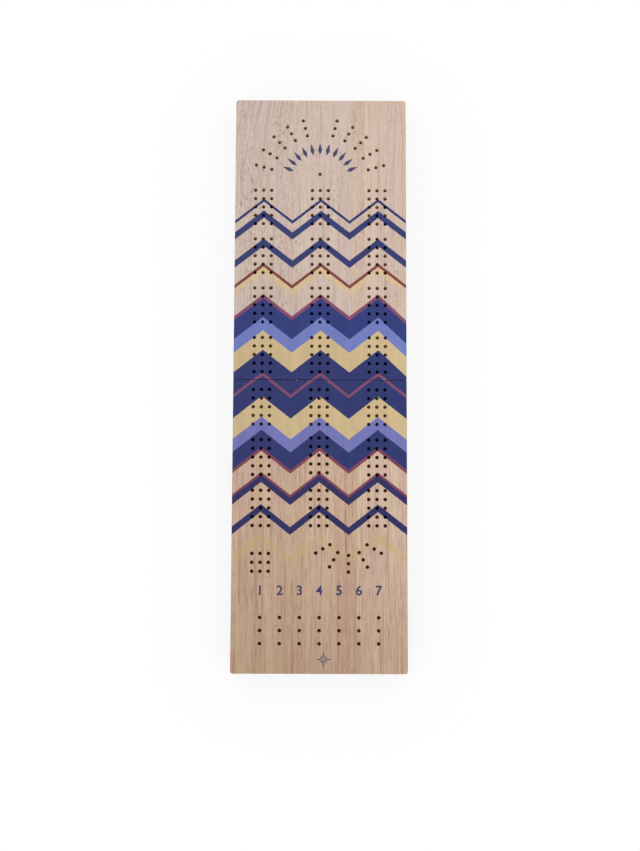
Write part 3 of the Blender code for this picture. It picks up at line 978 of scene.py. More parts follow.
@dataclass
class PlayingPanel:
    """A drilled and printed panel: rounded corners, eased edges, blind peg holes with a softened mouth."""

    half: Half
    printed: bpy.types.Material
    drilled: bpy.types.Material
    outer_corner: float = 1.4
    seam_corner: float = 0.3
    outer_steps: int = 10
    seam_steps: int = 4
    edge_ease: float = 0.5
    seam_ease: float = 0.12
    ease_steps: int = 5
    mouth_radius: float = 1.13
    throat_radius: float = 1.07
    bore_radius: float = 1.05
    throat_depth: float = 0.06
    bore_start: float = 0.2
    hole_depth: float = 6.0
    drill_point: float = 0.55
    hole_sides: int = 24
    same_place: float = 1e-5
    track_pitch: float = 4.76
    row_pitch: float = 5.09
    lane_pitch: float = 33.75

    def three_tracks(self, centre: float, y: float) -> list[Place]:
        """The three holes of one row of a lane."""
        return [(centre + track * self.track_pitch, y) for track in (-1, 0, 1)]

    def five(self, centre: float, middle_y: float) -> list[Place]:
        """The fifteen holes of five rows of a lane."""
        rows = (middle_y + row * self.row_pitch for row in (-2, -1, 0, 1, 2))
        return [hole for y in rows for hole in self.three_tracks(centre, y)]

    def spoke(self, centre: Place, radius: float, degrees: float) -> list[Place]:
        """Places three holes on a line out from a turn's centre.

        Args:
            centre: The turn's centre.
            radius: How far the middle hole is from it.
            degrees: The angle of the line, measured from straight up.

        Returns:
            The holes' centres.
        """
        angle = math.radians(degrees)
        reaches = (radius + track * self.track_pitch for track in (-1, 0, 1))
        return [(centre[0] + r * math.sin(angle), centre[1] + r * math.cos(angle)) for r in reaches]

    def holes(self) -> list[Place]:
        """Every hole's centre. Each half has its own."""
        raise NotImplementedError

    def outline(self, low: Vector, high: Vector) -> list[RimPoint]:
        """Goes round the panel's edge.

        Args:
            low: The panel's lowest corner.
            high: Its highest corner.

        Returns:
            The points of the outline, counterclockwise.
        """
        points = []
        for right, far, start in ((1, -1, -90), (1, 1, 0), (-1, 1, 90), (-1, -1, 180)):
            at_seam = far != self.half.value
            radius = self.seam_corner if at_seam else self.outer_corner
            steps = self.seam_steps if at_seam else self.outer_steps
            x = high.x - radius if right > 0 else low.x + radius
            y = high.y - radius if far > 0 else low.y + radius
            leaves_seam = right > 0 if self.half is Half.UPPER else right < 0
            for step in range(steps + 1):
                share = step / steps
                angle = math.radians(start + 90 * share)
                out_x, out_y = math.cos(angle), math.sin(angle)
                ease = self.edge_ease
                if at_seam:
                    towards = share if leaves_seam else 1 - share
                    ease = self.seam_ease + (self.edge_ease - self.seam_ease) * towards
                points.append(RimPoint(x + radius * out_x, y + radius * out_y, out_x, out_y, ease))
        return points

    def build(self) -> bpy.types.Object:
        """Builds the panel from its outline and its holes.

        Returns:
            The panel.
        """
        node = f"{self.half.label}_playing_panel"
        low, high = corners(node)
        outline = self.outline(low, high)
        levels = []
        for angle in quarter(self.ease_steps):
            inset, drop = 1 - math.sin(angle), 1 - math.cos(angle)
            levels.append([rim.inwards(rim.ease * inset, high.z - rim.ease * drop) for rim in outline])
        levels.append([rim.inwards(0.0, low.z + self.seam_ease) for rim in outline])
        levels.append([rim.inwards(self.seam_ease, low.z) for rim in outline])
        draft = bmesh.new()
        rings = [[draft.verts.new(spot) for spot in level] for level in levels]
        count = len(outline)
        for above, below in zip(rings, rings[1:]):
            for k in range(count):
                draft.faces.new((above[k], below[k], below[(k + 1) % count], above[(k + 1) % count]))
        draft.faces.new(list(reversed(rings[-1])))
        self.drill_and_face(draft, rings[0], high.z)
        draft.normal_update()
        piece = Piece(f"{node}_printed", draft, (self.printed, self.drilled))
        return piece.build(self.half.body, f"{self.half.label}_wood", node)

    def drill_and_face(self, draft: bmesh.types.BMesh, rim: list, face_z: float) -> None:
        """Sinks the holes and fills the playing face between them.

        Args:
            draft: The panel so far.
            rim: The points round the top face.
            face_z: The height of that face.
        """
        bottom = face_z - self.hole_depth
        levels = (
            (self.mouth_radius, face_z),
            (self.throat_radius, face_z - self.throat_depth),
            (self.bore_radius, face_z - self.bore_start),
            (self.bore_radius, bottom + self.drill_point),
        )
        turns = [2 * math.pi * k / self.hole_sides for k in range(self.hole_sides)]
        spokes = [(math.cos(turn), math.sin(turn)) for turn in turns]
        points = list(rim)
        owners = [-1] * len(rim)
        for number, (x, y) in enumerate(self.holes()):
            rings = [[draft.verts.new((x + r * c, y + r * s, z)) for c, s in spokes] for r, z in levels]
            tip = draft.verts.new((x, y, bottom))
            for k in range(self.hole_sides):
                after = (k + 1) % self.hole_sides
                for depth, (above, below) in enumerate(zip(rings, rings[1:])):
                    wall = draft.faces.new((above[k], above[after], below[after], below[k]))
                    wall.material_index = 0 if depth == 0 else 1
                draft.faces.new((rings[-1][k], rings[-1][after], tip)).material_index = 1
            points += rings[0]
            owners += [number] * self.hole_sides
        flat = [point.co.xy for point in points]
        starts = range(len(rim), len(points), self.hole_sides)
        loops = [list(range(len(rim)))]
        loops += [list(range(start, start + self.hole_sides)) for start in starts]
        edges = [(loop[k], loop[(k + 1) % len(loop)]) for loop in loops for k in range(len(loop))]
        _, _, triangles, sources, _, _ = delaunay_2d_cdt(flat, edges, [loops[0]], 1, self.same_place)
        for triangle in triangles:
            inputs = [sources[k][0] for k in triangle]
            shared = {owners[k] for k in inputs}
            if len(shared) == 1 and shared != {-1}:
                continue
            draft.faces.new([points[k] for k in inputs])


@dataclass
class UpperPanel(PlayingPanel):
    """The half with four fives in each lane, the turn of ten spokes and the last hole."""

    drill_x: float = -0.15
    first_y: float = 14.9
    five_pitch: float = 29.63
    fives: int = 4
    turn: Place = (-0.4, 118.64)
    turn_radius: float = 34.69
    turn_step: float = 14.83
    last_hole: Place = (-0.4, 123.9)

    def holes(self) -> list[Place]:
        """Places the lanes, the spokes and the last hole.

        Returns:
            Every hole's centre.
        """
        found = [self.last_hole]
        for lane in (-1, 0, 1):
            centre = self.drill_x + lane * self.lane_pitch
            for number in range(self.fives):
                found += self.five(centre, self.first_y + number * self.five_pitch)
        for place in (-5, -4, -3, -2, -1, 1, 2, 3, 4, 5):
            found += self.spoke(self.turn, self.turn_radius, place * self.turn_step)
        return found


@dataclass
class LowerPanel(PlayingPanel):
    """The half with three fives in each lane, the small turn, the start block and the games block."""

    drill_x: float = -0.45
    first_y: float = -15.97
    five_pitch: float = 29.5
    fives: int = 3
    raised: float = 1.15
    turn: Place = (16.78, -89.77)
    turn_radius: float = 17.2
    turn_step: float = 29.8
    start_y: float = -106.3
    start_pitch: float = 5.1
    games_y: float = -145.1
    games_row_pitch: float = 7.4
    games_column_pitch: float = 11.38

    def holes(self) -> list[Place]:
        """Places the lanes, the small turn and the two blocks.

        Returns:
            Every hole's centre.
        """
        found = []
        for lane in (-1, 0, 1):
            centre = self.drill_x + lane * self.lane_pitch
            for number in range(self.fives):
                rise = self.raised if (lane, number) == (0, 1) else 0.0
                found += self.five(centre, self.first_y - number * self.five_pitch + rise)
        for place in (-2, -1, 0, 1, 2):
            found += self.spoke(self.turn, self.turn_radius, 180 + place * self.turn_step)
        for row in (-1, 0, 1):
            found += self.three_tracks(self.drill_x - self.lane_pitch, self.start_y + row * self.start_pitch)
            for column in range(-3, 4):
                found.append((column * self.games_column_pitch, self.games_y + row * self.games_row_pitch))
        return found


@dataclass
class PrintedMarks:
    """The plain marks printed on the panels, each a film of ink as thick as a screen leaves."""

    ink: bpy.types.Material
    faded_ink: bpy.types.Material
    film: float = 0.02
    arch: Place = (-0.4, 118.64)
    arch_rays: int = 11
    arch_spread: float = 66.0
    ray_ends: Place = (17.2, 24.6)
    ray_half_width: float = 1.25
    ray_waist: float = 0.38
    rose: Place = (2.5, -161.3)
    rose_points: int = 8
    rose_inner: float = 0.5
    rose_reach: float = 4.6
    rose_short: float = 0.66
    rose_half_width: float = 0.6
    digits: str = "1234567"
    digit_height: float = 5.4
    digit_boldness: float = 0.022
    digit_steps: int = 8
    digit_y: float = -124.8
    digit_pitch: float = 11.38

    def ray(self, centre: Place, ends: Place, half_width: float, degrees: float) -> list[Place]:
        """Draws a kite that points out from a centre.

        Args:
            centre: The centre that it points away from.
            ends: How far from there it starts and ends.
            half_width: Half its width at the waist.
            degrees: The way it points, measured from straight up.

        Returns:
            Its four corners.
        """
        angle = math.radians(degrees)
        inner, outer = ends
        waist = inner + (outer - inner) * self.ray_waist
        spots = ((inner, 0.0), (waist, half_width), (outer, 0.0), (waist, -half_width))
        sine, cosine = math.sin(angle), math.cos(angle)
        return [(centre[0] + r * sine + w * cosine, centre[1] + r * cosine - w * sine) for r, w in spots]

    def print_shapes(
        self, name: str, shapes: Iterable[list[Place]], half: Half, ink: bpy.types.Material
    ) -> None:
        """Prints flat shapes on a half's playing face as one piece.

        Args:
            name: The piece's name.
            shapes: The corners of each shape.
            half: The half that they are printed on.
            ink: What they are printed with.
        """
        face_z = corners(f"{half.label}_playing_panel")[1].z
        draft = bmesh.new()
        for shape in shapes:
            draft.faces.new([draft.verts.new((x, y, face_z + self.film)) for x, y in shape])
        bmesh.ops.recalc_face_normals(draft, faces=draft.faces)
        for shape in draft.faces:
            if shape.normal.z < 0:
                shape.normal_flip()
        Piece(name, draft, (ink,), flat_sided=False).build(half.body, f"{half.label}_wood")

    def digit(self, text: str, x: float) -> list[list[Place]]:
        """Draws one printed digit.

        Args:
            text: The digit.
            x: The X of its middle.

        Returns:
            The corners of the flat shapes that fill it.
        """
        curve = bpy.data.curves.new("digit", "FONT")
        curve.body, curve.size, curve.align_x = text, 1.0, "CENTER"
        curve.resolution_u, curve.offset = self.digit_steps, self.digit_boldness
        writing = bpy.data.objects.new("digit", curve)
        bpy.context.scene.collection.objects.link(writing)
        mesh = bpy.data.meshes.new_from_object(writing.evaluated_get(bpy.context.evaluated_depsgraph_get()))
        top = max(vertex.co.y for vertex in mesh.vertices)
        grow = self.digit_height / top
        spots = [(x + vertex.co.x * grow, self.digit_y + vertex.co.y * grow) for vertex in mesh.vertices]
        shapes = [[spots[k] for k in face.vertices] for face in mesh.polygons]
        bpy.data.meshes.remove(mesh)
        bpy.data.objects.remove(writing)
        bpy.data.curves.remove(curve)
        return shapes

    def build(self) -> None:
        """Prints the arch of rays, the column numbers and the small compass rose."""
        steps = range(self.arch_rays)
        turns = [self.arch_spread * (2 * k / (self.arch_rays - 1) - 1) for k in steps]
        rays = [self.ray(self.arch, self.ray_ends, self.ray_half_width, turn) for turn in turns]
        self.print_shapes("upper_printed_rays", rays, Half.UPPER, self.ink)
        middle = (len(self.digits) - 1) / 2
        places = [(text, (k - middle) * self.digit_pitch) for k, text in enumerate(self.digits)]
        numbers = [shape for text, x in places for shape in self.digit(text, x)]
        self.print_shapes("lower_printed_numbers", numbers, Half.LOWER, self.ink)
        points = []
        for k in range(self.rose_points):
            reach = self.rose_reach * (self.rose_short if k % 2 else 1.0)
            turn = 360.0 / self.rose_points * k
            points.append(self.ray(self.rose, (self.rose_inner, reach), self.rose_half_width, turn))
        self.print_shapes("lower_printed_rose", points, Half.LOWER, self.faded_ink)


# The frames under the panels


@dataclass
class TrayFrame:
    """The four rails and the divider glued under a panel, with what is let into them cut out."""

    half: Half
    across: bpy.types.Material
    lengthways: bpy.types.Material
    glue_line: float = 0.02
    outer_ease: float = 0.4
    corner_ease: float = 1.2
    arris: float = 0.25
    joint_ease: float = 0.06
    fit: float = 0.12
    pocket_flare: float = 0.15
    socket_radius: float = 4.6
    socket_depth: float = 2.3
    socket_flare: float = 0.3
    leaf_bed: float = 1.0
    knuckle_reach: float = 1.9
    knuckle_gap: float = 0.3
    knuckle_top: float = 3.9
    pilot_radius: float = 0.95
    lid_gap: float = 0.3

    def pockets(self) -> bmesh.types.BMesh:
        """Cuts the end rail for its magnets, its feet and the sockets for the other half's feet.

        Returns:
            All of the cutters as one.
        """
        cutters = []
        floor = corners(f"{self.half.label}_end_rail")[0].z
        for hand in Hand:
            for item in ("magnet", "foot"):
                node = f"{self.half.label}_{hand.value}_{item}"
                x, y, radius = upright(node)
                top = corners(node)[1].z + self.fit
                cutters.append(bore(x, y, radius + self.fit, floor, top, self.pocket_flare))
            # When the board is folded, the other half's foot comes level with this half's own.
            x = upright(f"{self.half.other.label}_{hand.value}_foot")[0]
            top = floor + self.socket_depth
            cutters.append(bore(x, y, self.socket_radius, floor, top, self.socket_flare))
        return joined(cutters)

    def hinge_beds(self) -> list[bmesh.types.BMesh]:
        """Cuts the seam rail for the leaves, the knuckles and the screws.

        Returns:
            The cutters.
        """
        cutters = []
        floor = corners(f"{self.half.label}_seam_rail")[0].z
        side = self.half.value
        for hand in Hand:
            hinge = f"{hand.value}_hinge"
            low, high = corners(f"{hinge}_{self.half.label}_leaf")
            near, far = sorted((-side * CLEAR, (high.y if side > 0 else low.y) + side * self.fit))
            top = floor + self.leaf_bed + self.fit
            cutters.append(slab((low.x - self.fit, near, floor - CLEAR), (high.x + self.fit, far, top)))
            low, high = corners(f"{hinge}_pin")
            left, right = low.x - self.knuckle_gap, high.x + self.knuckle_gap
            near, far = sorted((-side * CLEAR, side * self.knuckle_reach))
            cutters.append(slab((left, near, floor - CLEAR), (right, far, self.knuckle_top)))
            for end in ScrewEnd:
                node = f"{hinge}_{self.half.label}_{end.value}_screw"
                x, y, _ = upright(node)
                cutters.append(bore(x, y, self.pilot_radius, floor, corners(node)[1].z + self.fit))
        return cutters

    def lid_groove(self, hand: Hand) -> bmesh.types.BMesh:
        """Cuts a side rail for the edge of the sliding lid.

        Args:
            hand: Which of the two side rails it is.

        Returns:
            The cutter.
        """
        low, high = corners("peg_lid")
        rail_low, rail_high = corners(f"{self.half.label}_{hand.value}_rail")
        left, right = low.x - self.lid_gap, rail_high.x + CLEAR
        if hand is Hand.RIGHT:
            left, right = rail_low.x - CLEAR, high.x + self.lid_gap
        near, far = rail_low.y - CLEAR, rail_high.y + CLEAR
        return slab((left, near, low.z - self.lid_gap), (right, far, high.z + self.lid_gap))

    def end_ease(self, middle: Vector) -> float:
        """Rounds the end rail along its foot and up its outer corners.

        Args:
            middle: The middle of one of its edges, in the block's terms.

        Returns:
            That edge's radius.
        """
        at_end = middle.y * self.half.value > OFF_CENTRE
        if middle.z < -OFF_CENTRE:
            return self.outer_ease if at_end or abs(middle.x) > OFF_CENTRE else self.arris
        return self.corner_ease if at_end and middle.z < OFF_CENTRE else self.joint_ease

    def seam_ease(self, middle: Vector) -> float:
        """Rounds the seam rail along its foot, and leaves it crisp where it meets the other half.

        Args:
            middle: The middle of one of its edges, in the block's terms.

        Returns:
            That edge's radius.
        """
        if middle.z > -OFF_CENTRE:
            return self.joint_ease
        if abs(middle.x) > OFF_CENTRE:
            return self.outer_ease
        return self.arris if middle.y * self.half.value > OFF_CENTRE else self.joint_ease

    def side_ease(self, middle: Vector) -> float:
        """Rounds a side rail along both of its lower edges."""
        return self.outer_ease if middle.z < -OFF_CENTRE and abs(middle.x) > OFF_CENTRE else self.joint_ease

    def divider_ease(self, middle: Vector) -> float:
        """Eases the divider along its foot."""
        return self.arris if middle.z < -OFF_CENTRE else self.joint_ease

    def add_member(
        self,
        part: str,
        low: Point,
        high: Place,
        ease: Callable[[Vector], float],
        wood: bpy.types.Material,
        cutters: Sequence[bmesh.types.BMesh] = (),
    ) -> None:
        """Planes one member and glues it under the panel.

        Args:
            part: Its name after the half's.
            low: Its lowest corner.
            high: The X and Y of its highest corner.
            ease: Gives the radius of each of its edges.
            wood: Its wood.
            cutters: What is cut out of it.
        """
        half = self.half.label
        top = corners(f"{half}_playing_panel")[0].z - self.glue_line
        member = block(low, (*high, top), ease)
        node = f"{half}_{part}"
        Piece(f"{node}_planed", member, (wood,), cutters).build(self.half.body, f"{half}_wood", node)

    def build(self) -> None:
        """Builds the rails and the divider."""
        half, upper = self.half.label, self.half is Half.UPPER
        seam_low, seam_high = corners(f"{half}_seam_rail")
        end_low, end_high = corners(f"{half}_end_rail")
        self.add_member("seam_rail", seam_low, seam_high.xy, self.seam_ease, self.across, self.hinge_beds())
        self.add_member("end_rail", end_low, end_high.xy, self.end_ease, self.across, (self.pockets(),))
        near, far = (seam_high.y, end_low.y) if upper else (end_high.y, seam_low.y)
        for hand in Hand:
            part = f"{hand.value}_rail"
            low, high = corners(f"{half}_{part}")
            start, end = (low.x, near + self.glue_line, low.z), (high.x, far - self.glue_line)
            groove = () if upper else (self.lid_groove(hand),)
            self.add_member(part, start, end, self.side_ease, self.lengthways, groove)
        low, high = corners(f"{half}_divider")
        reach = corners(f"{half}_right_rail")[0].x - self.glue_line
        self.add_member("divider", (-reach, low.y, low.z), (reach, high.y), self.divider_ease, self.across)


@dataclass
class PegLid:
    """The sliding lid of the peg bay, with a dished thumb scoop on its underside."""

    wood: bpy.types.Material
    ease: float = 0.35
    scoop_radius: float = 7.0
    scoop_depth: float = 1.0
    scoop_from_edge: float = 11.0
    scoop_steps: int = 12
    scoop_sides: int = 64

    def build(self) -> None:
        """Builds the lid."""
        low, high = corners("peg_lid")
        sphere = (self.scoop_radius**2 + self.scoop_depth**2) / (2 * self.scoop_depth)
        half_angle = math.asin(self.scoop_radius / sphere)
        dome = [half_angle * k / self.scoop_steps for k in range(self.scoop_steps + 1)]
        top = low.z + self.scoop_depth
        profile = [(sphere * math.sin(a), top - sphere * (1 - math.cos(a))) for a in dome]
        profile += [(self.scoop_radius, low.z - CLEAR), (0.0, low.z - CLEAR)]
        placed = Matrix.Translation((0, high.y - self.scoop_from_edge, 0))
        scoop = turned(profile, self.scoop_sides, placed)
        lid = block(low, high, lambda middle: self.ease)
        Piece("peg_lid_dished", lid, (self.wood,), (scoop,)).build("peg_lid", "lower_wood", "peg_lid")


# Fittings


@dataclass
class HingeScrew:
    """A small slotted countersunk screw, head down, with a threaded shank that tapers to a point."""

    node: str
    turn: float
    brass: bpy.types.Material
    tip: Place = (0.12, 0.15)
    threads: int = 9
    thread_from_tip: float = 0.5
    thread_from_head: float = 1.6
    first_crest: float = 0.3
    crest_growth: float = 0.28
    crest_radius: float = 0.85
    root_share: float = 0.72
    neck: tuple[Place, ...] = ((0.68, 1.5), (0.765, 0.95))
    rim_height: float = 0.1
    rim_ease: float = 0.04
    slot_length: float = 6.0
    slot_width: float = 0.44
    slot_depth: float = 0.42

    def build(self, body: str) -> None:
        """Builds the screw.

        Args:
            body: The body of the frame that it rides on.
        """
        x, y, head = upright(self.node)
        low, high = (corner.z for corner in corners(self.node))
        start = high - self.thread_from_tip
        run = start - (low + self.thread_from_head)
        profile = [(0.0, high), (self.tip[0], high - self.tip[1])]
        for k in range(self.threads):
            z = start - run * k / self.threads
            crest = min(self.crest_radius, self.first_crest + self.crest_growth * (k + 1))
            profile += [(crest * self.root_share, z), (crest, z - run / self.threads / 2)]
        profile += [(radius, low + rise) for radius, rise in self.neck]
        profile += [(head, low + self.rim_height), (head, low + self.rim_ease)]
        profile += [(head - self.rim_ease, low), (0.0, low)]
        placed = Matrix.Translation((x, y, 0))
        draft = turned(profile, ROUND_SIDES, placed)
        long, wide = self.slot_length / 2, self.slot_width / 2
        slot = slab((-long, -wide, low - CLEAR), (long, wide, low + self.slot_depth))
        aligned = placed @ Matrix.Rotation(math.radians(self.turn), 4, "Z")
        bmesh.ops.transform(slot, matrix=aligned, verts=slot.verts)
        Piece(f"{self.node}_slotted", draft, (self.brass,), (slot,)).build(body, "brass", self.node)


@dataclass
class ButtHinge:
    """A small brass butt hinge: two leaves with rolled knuckles, their pin, and two screws in each leaf."""

    hand: Hand
    brass: bpy.types.Material
    first_turn: float = 0.0
    screw_turn: float = 38.5
    leaf_root: float = 1.0
    leaf_thickness: float = 1.0
    leaf_corner: float = 1.5
    leaf_arris: float = 0.1
    knuckle_radius: float = 1.6
    knuckle_ease: float = 0.12
    knuckle_gap: float = 0.24
    knuckle_room: float = 0.25
    knuckle_count: int = 5
    upper_knuckles: tuple[int, ...] = (1, 3)
    pin_bore: float = 0.86
    pin_dome: float = 0.35
    dome_steps: int = 6
    sink_rim: float = 1.95
    sink_throat: float = 1.15
    sink_throat_depth: float = 0.15
    sink_rim_depth: float = 0.02
    sink_sides: int = 48

    def along_axis(self, profile: Profile, middle: float = 0.0) -> bmesh.types.BMesh:
        """Turns a closed solid round the folding axis.

        Args:
            profile: Radius and place along the axis of each point, from the right.
            middle: The X that those places are measured from.

        Returns:
            The solid.
        """
        low, high = corners(f"{self.hand.value}_hinge_pin")
        placed = Matrix.Translation((middle, 0, (low.z + high.z) / 2)) @ Matrix.Rotation(math.pi / 2, 4, "Y")
        return turned(profile, ROUND_SIDES, placed)

    def knuckles(self, half: Half, low_x: float, high_x: float) -> tuple[list, list]:
        """Rolls a leaf's own knuckles, and makes room for the other leaf's.

        Args:
            half: The half whose leaf it is.
            low_x: Where the row of knuckles starts.
            high_x: Where it ends.

        Returns:
            The knuckles, and what is cut away between them.
        """
        side, floor = half.value, corners(f"{half.label}_seam_rail")[0].z
        radius, ease, gap = self.knuckle_radius, self.knuckle_ease, self.knuckle_gap / 2
        top = floor + self.leaf_thickness + CLEAR
        length = (high_x - low_x) / self.knuckle_count
        barrels, cutters = [], []
        for place in range(self.knuckle_count):
            low, high = low_x + place * length, low_x + (place + 1) * length
            if (place in self.upper_knuckles) == (half is Half.UPPER):
                low, high = low + gap, high - gap
                profile = [(0, high), (radius - ease, high), (radius, high - ease)]
                profile += [(radius, low + ease), (radius - ease, low), (0, low)]
                barrels.append(self.along_axis(profile))
            else:
                near, far = sorted((-side * CLEAR, side * (radius + self.knuckle_room)))
                cutters.append(slab((low - gap, near, floor - CLEAR), (high + gap, far, top)))
        return barrels, cutters

    def leaf(self, half: Half) -> None:
        """Builds one leaf with its own knuckles.

        Args:
            half: The half that it is screwed to.
        """
        node = f"{self.hand.value}_hinge_{half.label}_leaf"
        low, high = corners(node)
        side, floor = half.value, corners(f"{half.label}_seam_rail")[0].z
        top = floor + self.leaf_thickness

        def ease(middle: Vector) -> float:
            """Rounds the two corners away from the pin, and breaks the arrises.

            Args:
                middle: The middle of one of the plate's edges, in the block's terms.

            Returns:
                That edge's radius.
            """
            if abs(middle.z) > OFF_CENTRE:
                return self.leaf_arris
            return self.leaf_corner if middle.y * side > OFF_CENTRE else 0.0

        near, far = sorted((side * self.leaf_root, high.y if side > 0 else low.y))
        plate = block((low.x, near, floor), (high.x, far, top), ease)
        barrels, cutters = self.knuckles(half, low.x, high.x)
        for end in ScrewEnd:
            x, y, _ = upright(f"{self.hand.value}_hinge_{half.label}_{end.value}_screw")
            throat, rim = self.sink_throat, self.sink_rim
            profile = [(0, top + CLEAR), (throat, top + CLEAR), (throat, top - self.sink_throat_depth)]
            profile += [(rim, floor + self.sink_rim_depth), (rim, floor - CLEAR), (0, floor - CLEAR)]
            cutters.append(turned(profile, self.sink_sides, Matrix.Translation((x, y, 0))))
        start, end, radius = low.x - CLEAR, high.x + CLEAR, self.pin_bore
        cutters.append(self.along_axis([(0, end), (radius, end), (radius, start), (0, start)]))
        Piece(f"{node}_rolled", plate, (self.brass,), cutters, barrels).build(half.body, "brass", node)

    def pin(self) -> None:
        """Builds the pin with its domed ends."""
        node = f"{self.hand.value}_hinge_pin"
        low, high = corners(node)
        radius, half = (high.z - low.z) / 2, (high.x - low.x) / 2
        dome = [(radius * math.sin(a), self.pin_dome * (math.cos(a) - 1)) for a in quarter(self.dome_steps)]
        profile = [(r, half + z) for r, z in dome] + [(r, -half - z) for r, z in reversed(dome)]
        solid = self.along_axis(profile, (high.x + low.x) / 2)
        Piece(f"{node}_domed", solid, (self.brass,), flat_sided=False).build("lower_board", "brass", node)

    def build(self) -> None:
        """Builds the whole hinge, each screw driven home at its own angle."""
        self.pin()
        turn = self.first_turn
        for half in Half:
            self.leaf(half)
            for end in ScrewEnd:
                node = f"{self.hand.value}_hinge_{half.label}_{end.value}_screw"
                HingeScrew(node, turn, self.brass).build(half.body)
                turn += self.screw_turn


@dataclass
class RubberFoot:
    """A round stick-on foot, its lower edge moulded round and its middle a little hollow."""

    half: Half
    hand: Hand
    rubber: bpy.types.Material
    round_over: float = 0.9
    back_ease: float = 0.08
    hollow_share: float = 0.4
    hollow_depths: Place = (0.05, 0.08)
    arc_steps: int = 6
    sides: int = 48

    def build(self) -> None:
        """Builds the foot."""
        node = f"{self.half.label}_{self.hand.value}_foot"
        x, y, radius = upright(node)
        low, high = (corner.z for corner in corners(node))
        edge = self.round_over
        profile = [(0.0, high), (radius - self.back_ease, high), (radius, high - self.back_ease)]
        for a in quarter(self.arc_steps):
            profile.append((radius - edge * (1 - math.cos(a)), low + edge * (1 - math.sin(a))))
        rim_rise, middle_rise = self.hollow_depths
        profile += [(radius * self.hollow_share, low + rim_rise), (0.0, low + middle_rise)]
        draft = turned(profile, self.sides, Matrix.Translation((x, y, 0)))
        Piece(f"{node}_moulded", draft, (self.rubber,)).build(self.half.body, "rubber", node)


@dataclass
class DiscMagnet:
    """A nickel-plated disc magnet, its edges tumbled round."""

    half: Half
    hand: Hand
    nickel: bpy.types.Material
    ease: float = 0.25
    arc_steps: int = 4
    sides: int = 48

    def build(self) -> None:
        """Builds the magnet."""
        node = f"{self.half.label}_{self.hand.value}_magnet"
        x, y, radius = upright(node)
        low, high = (corner.z for corner in corners(node))
        top = []
        for a in quarter(self.arc_steps):
            top.append((radius - self.ease * (1 - math.sin(a)), high - self.ease * (1 - math.cos(a))))
        under = [(r, low + high - z) for r, z in reversed(top)]
        draft = turned([(0.0, high), *top, *under, (0.0, low)], self.sides, Matrix.Translation((x, y, 0)))
        Piece(f"{node}_plated", draft, (self.nickel,)).build(self.half.body, "nickel", node)


@dataclass
class Peg:
    """A moulded peg with a rounded head, a slim waist, a collar and a tapered shank."""

    colour: PegColour
    number: int
    plastic: bpy.types.Material
    length: float = 24.0
    head: float = 1.7
    waist: float = 1.15
    neck_height: float = 22.0
    waist_height: float = 13.6
    collar_height: float = 9.7
    shank: tuple[Place, ...] = (
        (1.7, 8.8), (1.58, 8.55), (1.05, 7.9), (0.95, 7.5),
        (0.817, 0.7), (0.741, 0.3), (0.5, 0.06), (0.35, 0.0), (0.0, 0.0),
    )
    head_steps: int = 6
    curve_steps: int = 10
    sides: int = 36
    to_a_colour: int = 3

    def profile(self) -> list[Place]:
        """Draws the peg's outline.

        Returns:
            Radius and height over the tip of each point, from the head down.
        """
        line = []
        for a in quarter(self.head_steps):
            line.append((self.head * math.sin(a), self.length - self.head * (1 - math.cos(a))))
        slopes = (
            (self.neck_height, self.waist_height, self.head, self.waist),
            (self.waist_height, self.collar_height, self.waist, self.head),
        )
        for start, end, from_radius, to_radius in slopes:
            for k in range(1, self.curve_steps + 1):
                share = k / self.curve_steps
                blend = (1 - math.cos(math.pi * share)) / 2
                line.append((from_radius + (to_radius - from_radius) * blend, start + (end - start) * share))
        return [*line, *self.shank]

    def build(self) -> None:
        """Lays the peg in the bay, every second one the other way round."""
        node = f"{self.colour.label}_peg_{self.number}"
        low, high = corners(node)
        place = self.colour.value * self.to_a_colour + self.number - 1
        way, start = (-1, high.y) if place % 2 else (1, low.y)
        placed = Matrix.Translation(((low.x + high.x) / 2, start, (low.z + high.z) / 2))
        placed = placed @ Matrix.Rotation(-way * math.pi / 2, 4, "X")
        draft = turned(self.profile(), self.sides, placed)
        piece = Piece(f"{node}_moulded", draft, (self.plastic,), flat_sided=False)
        piece.build("lower_board", f"{self.colour.label}_plastic", node)


# The studio


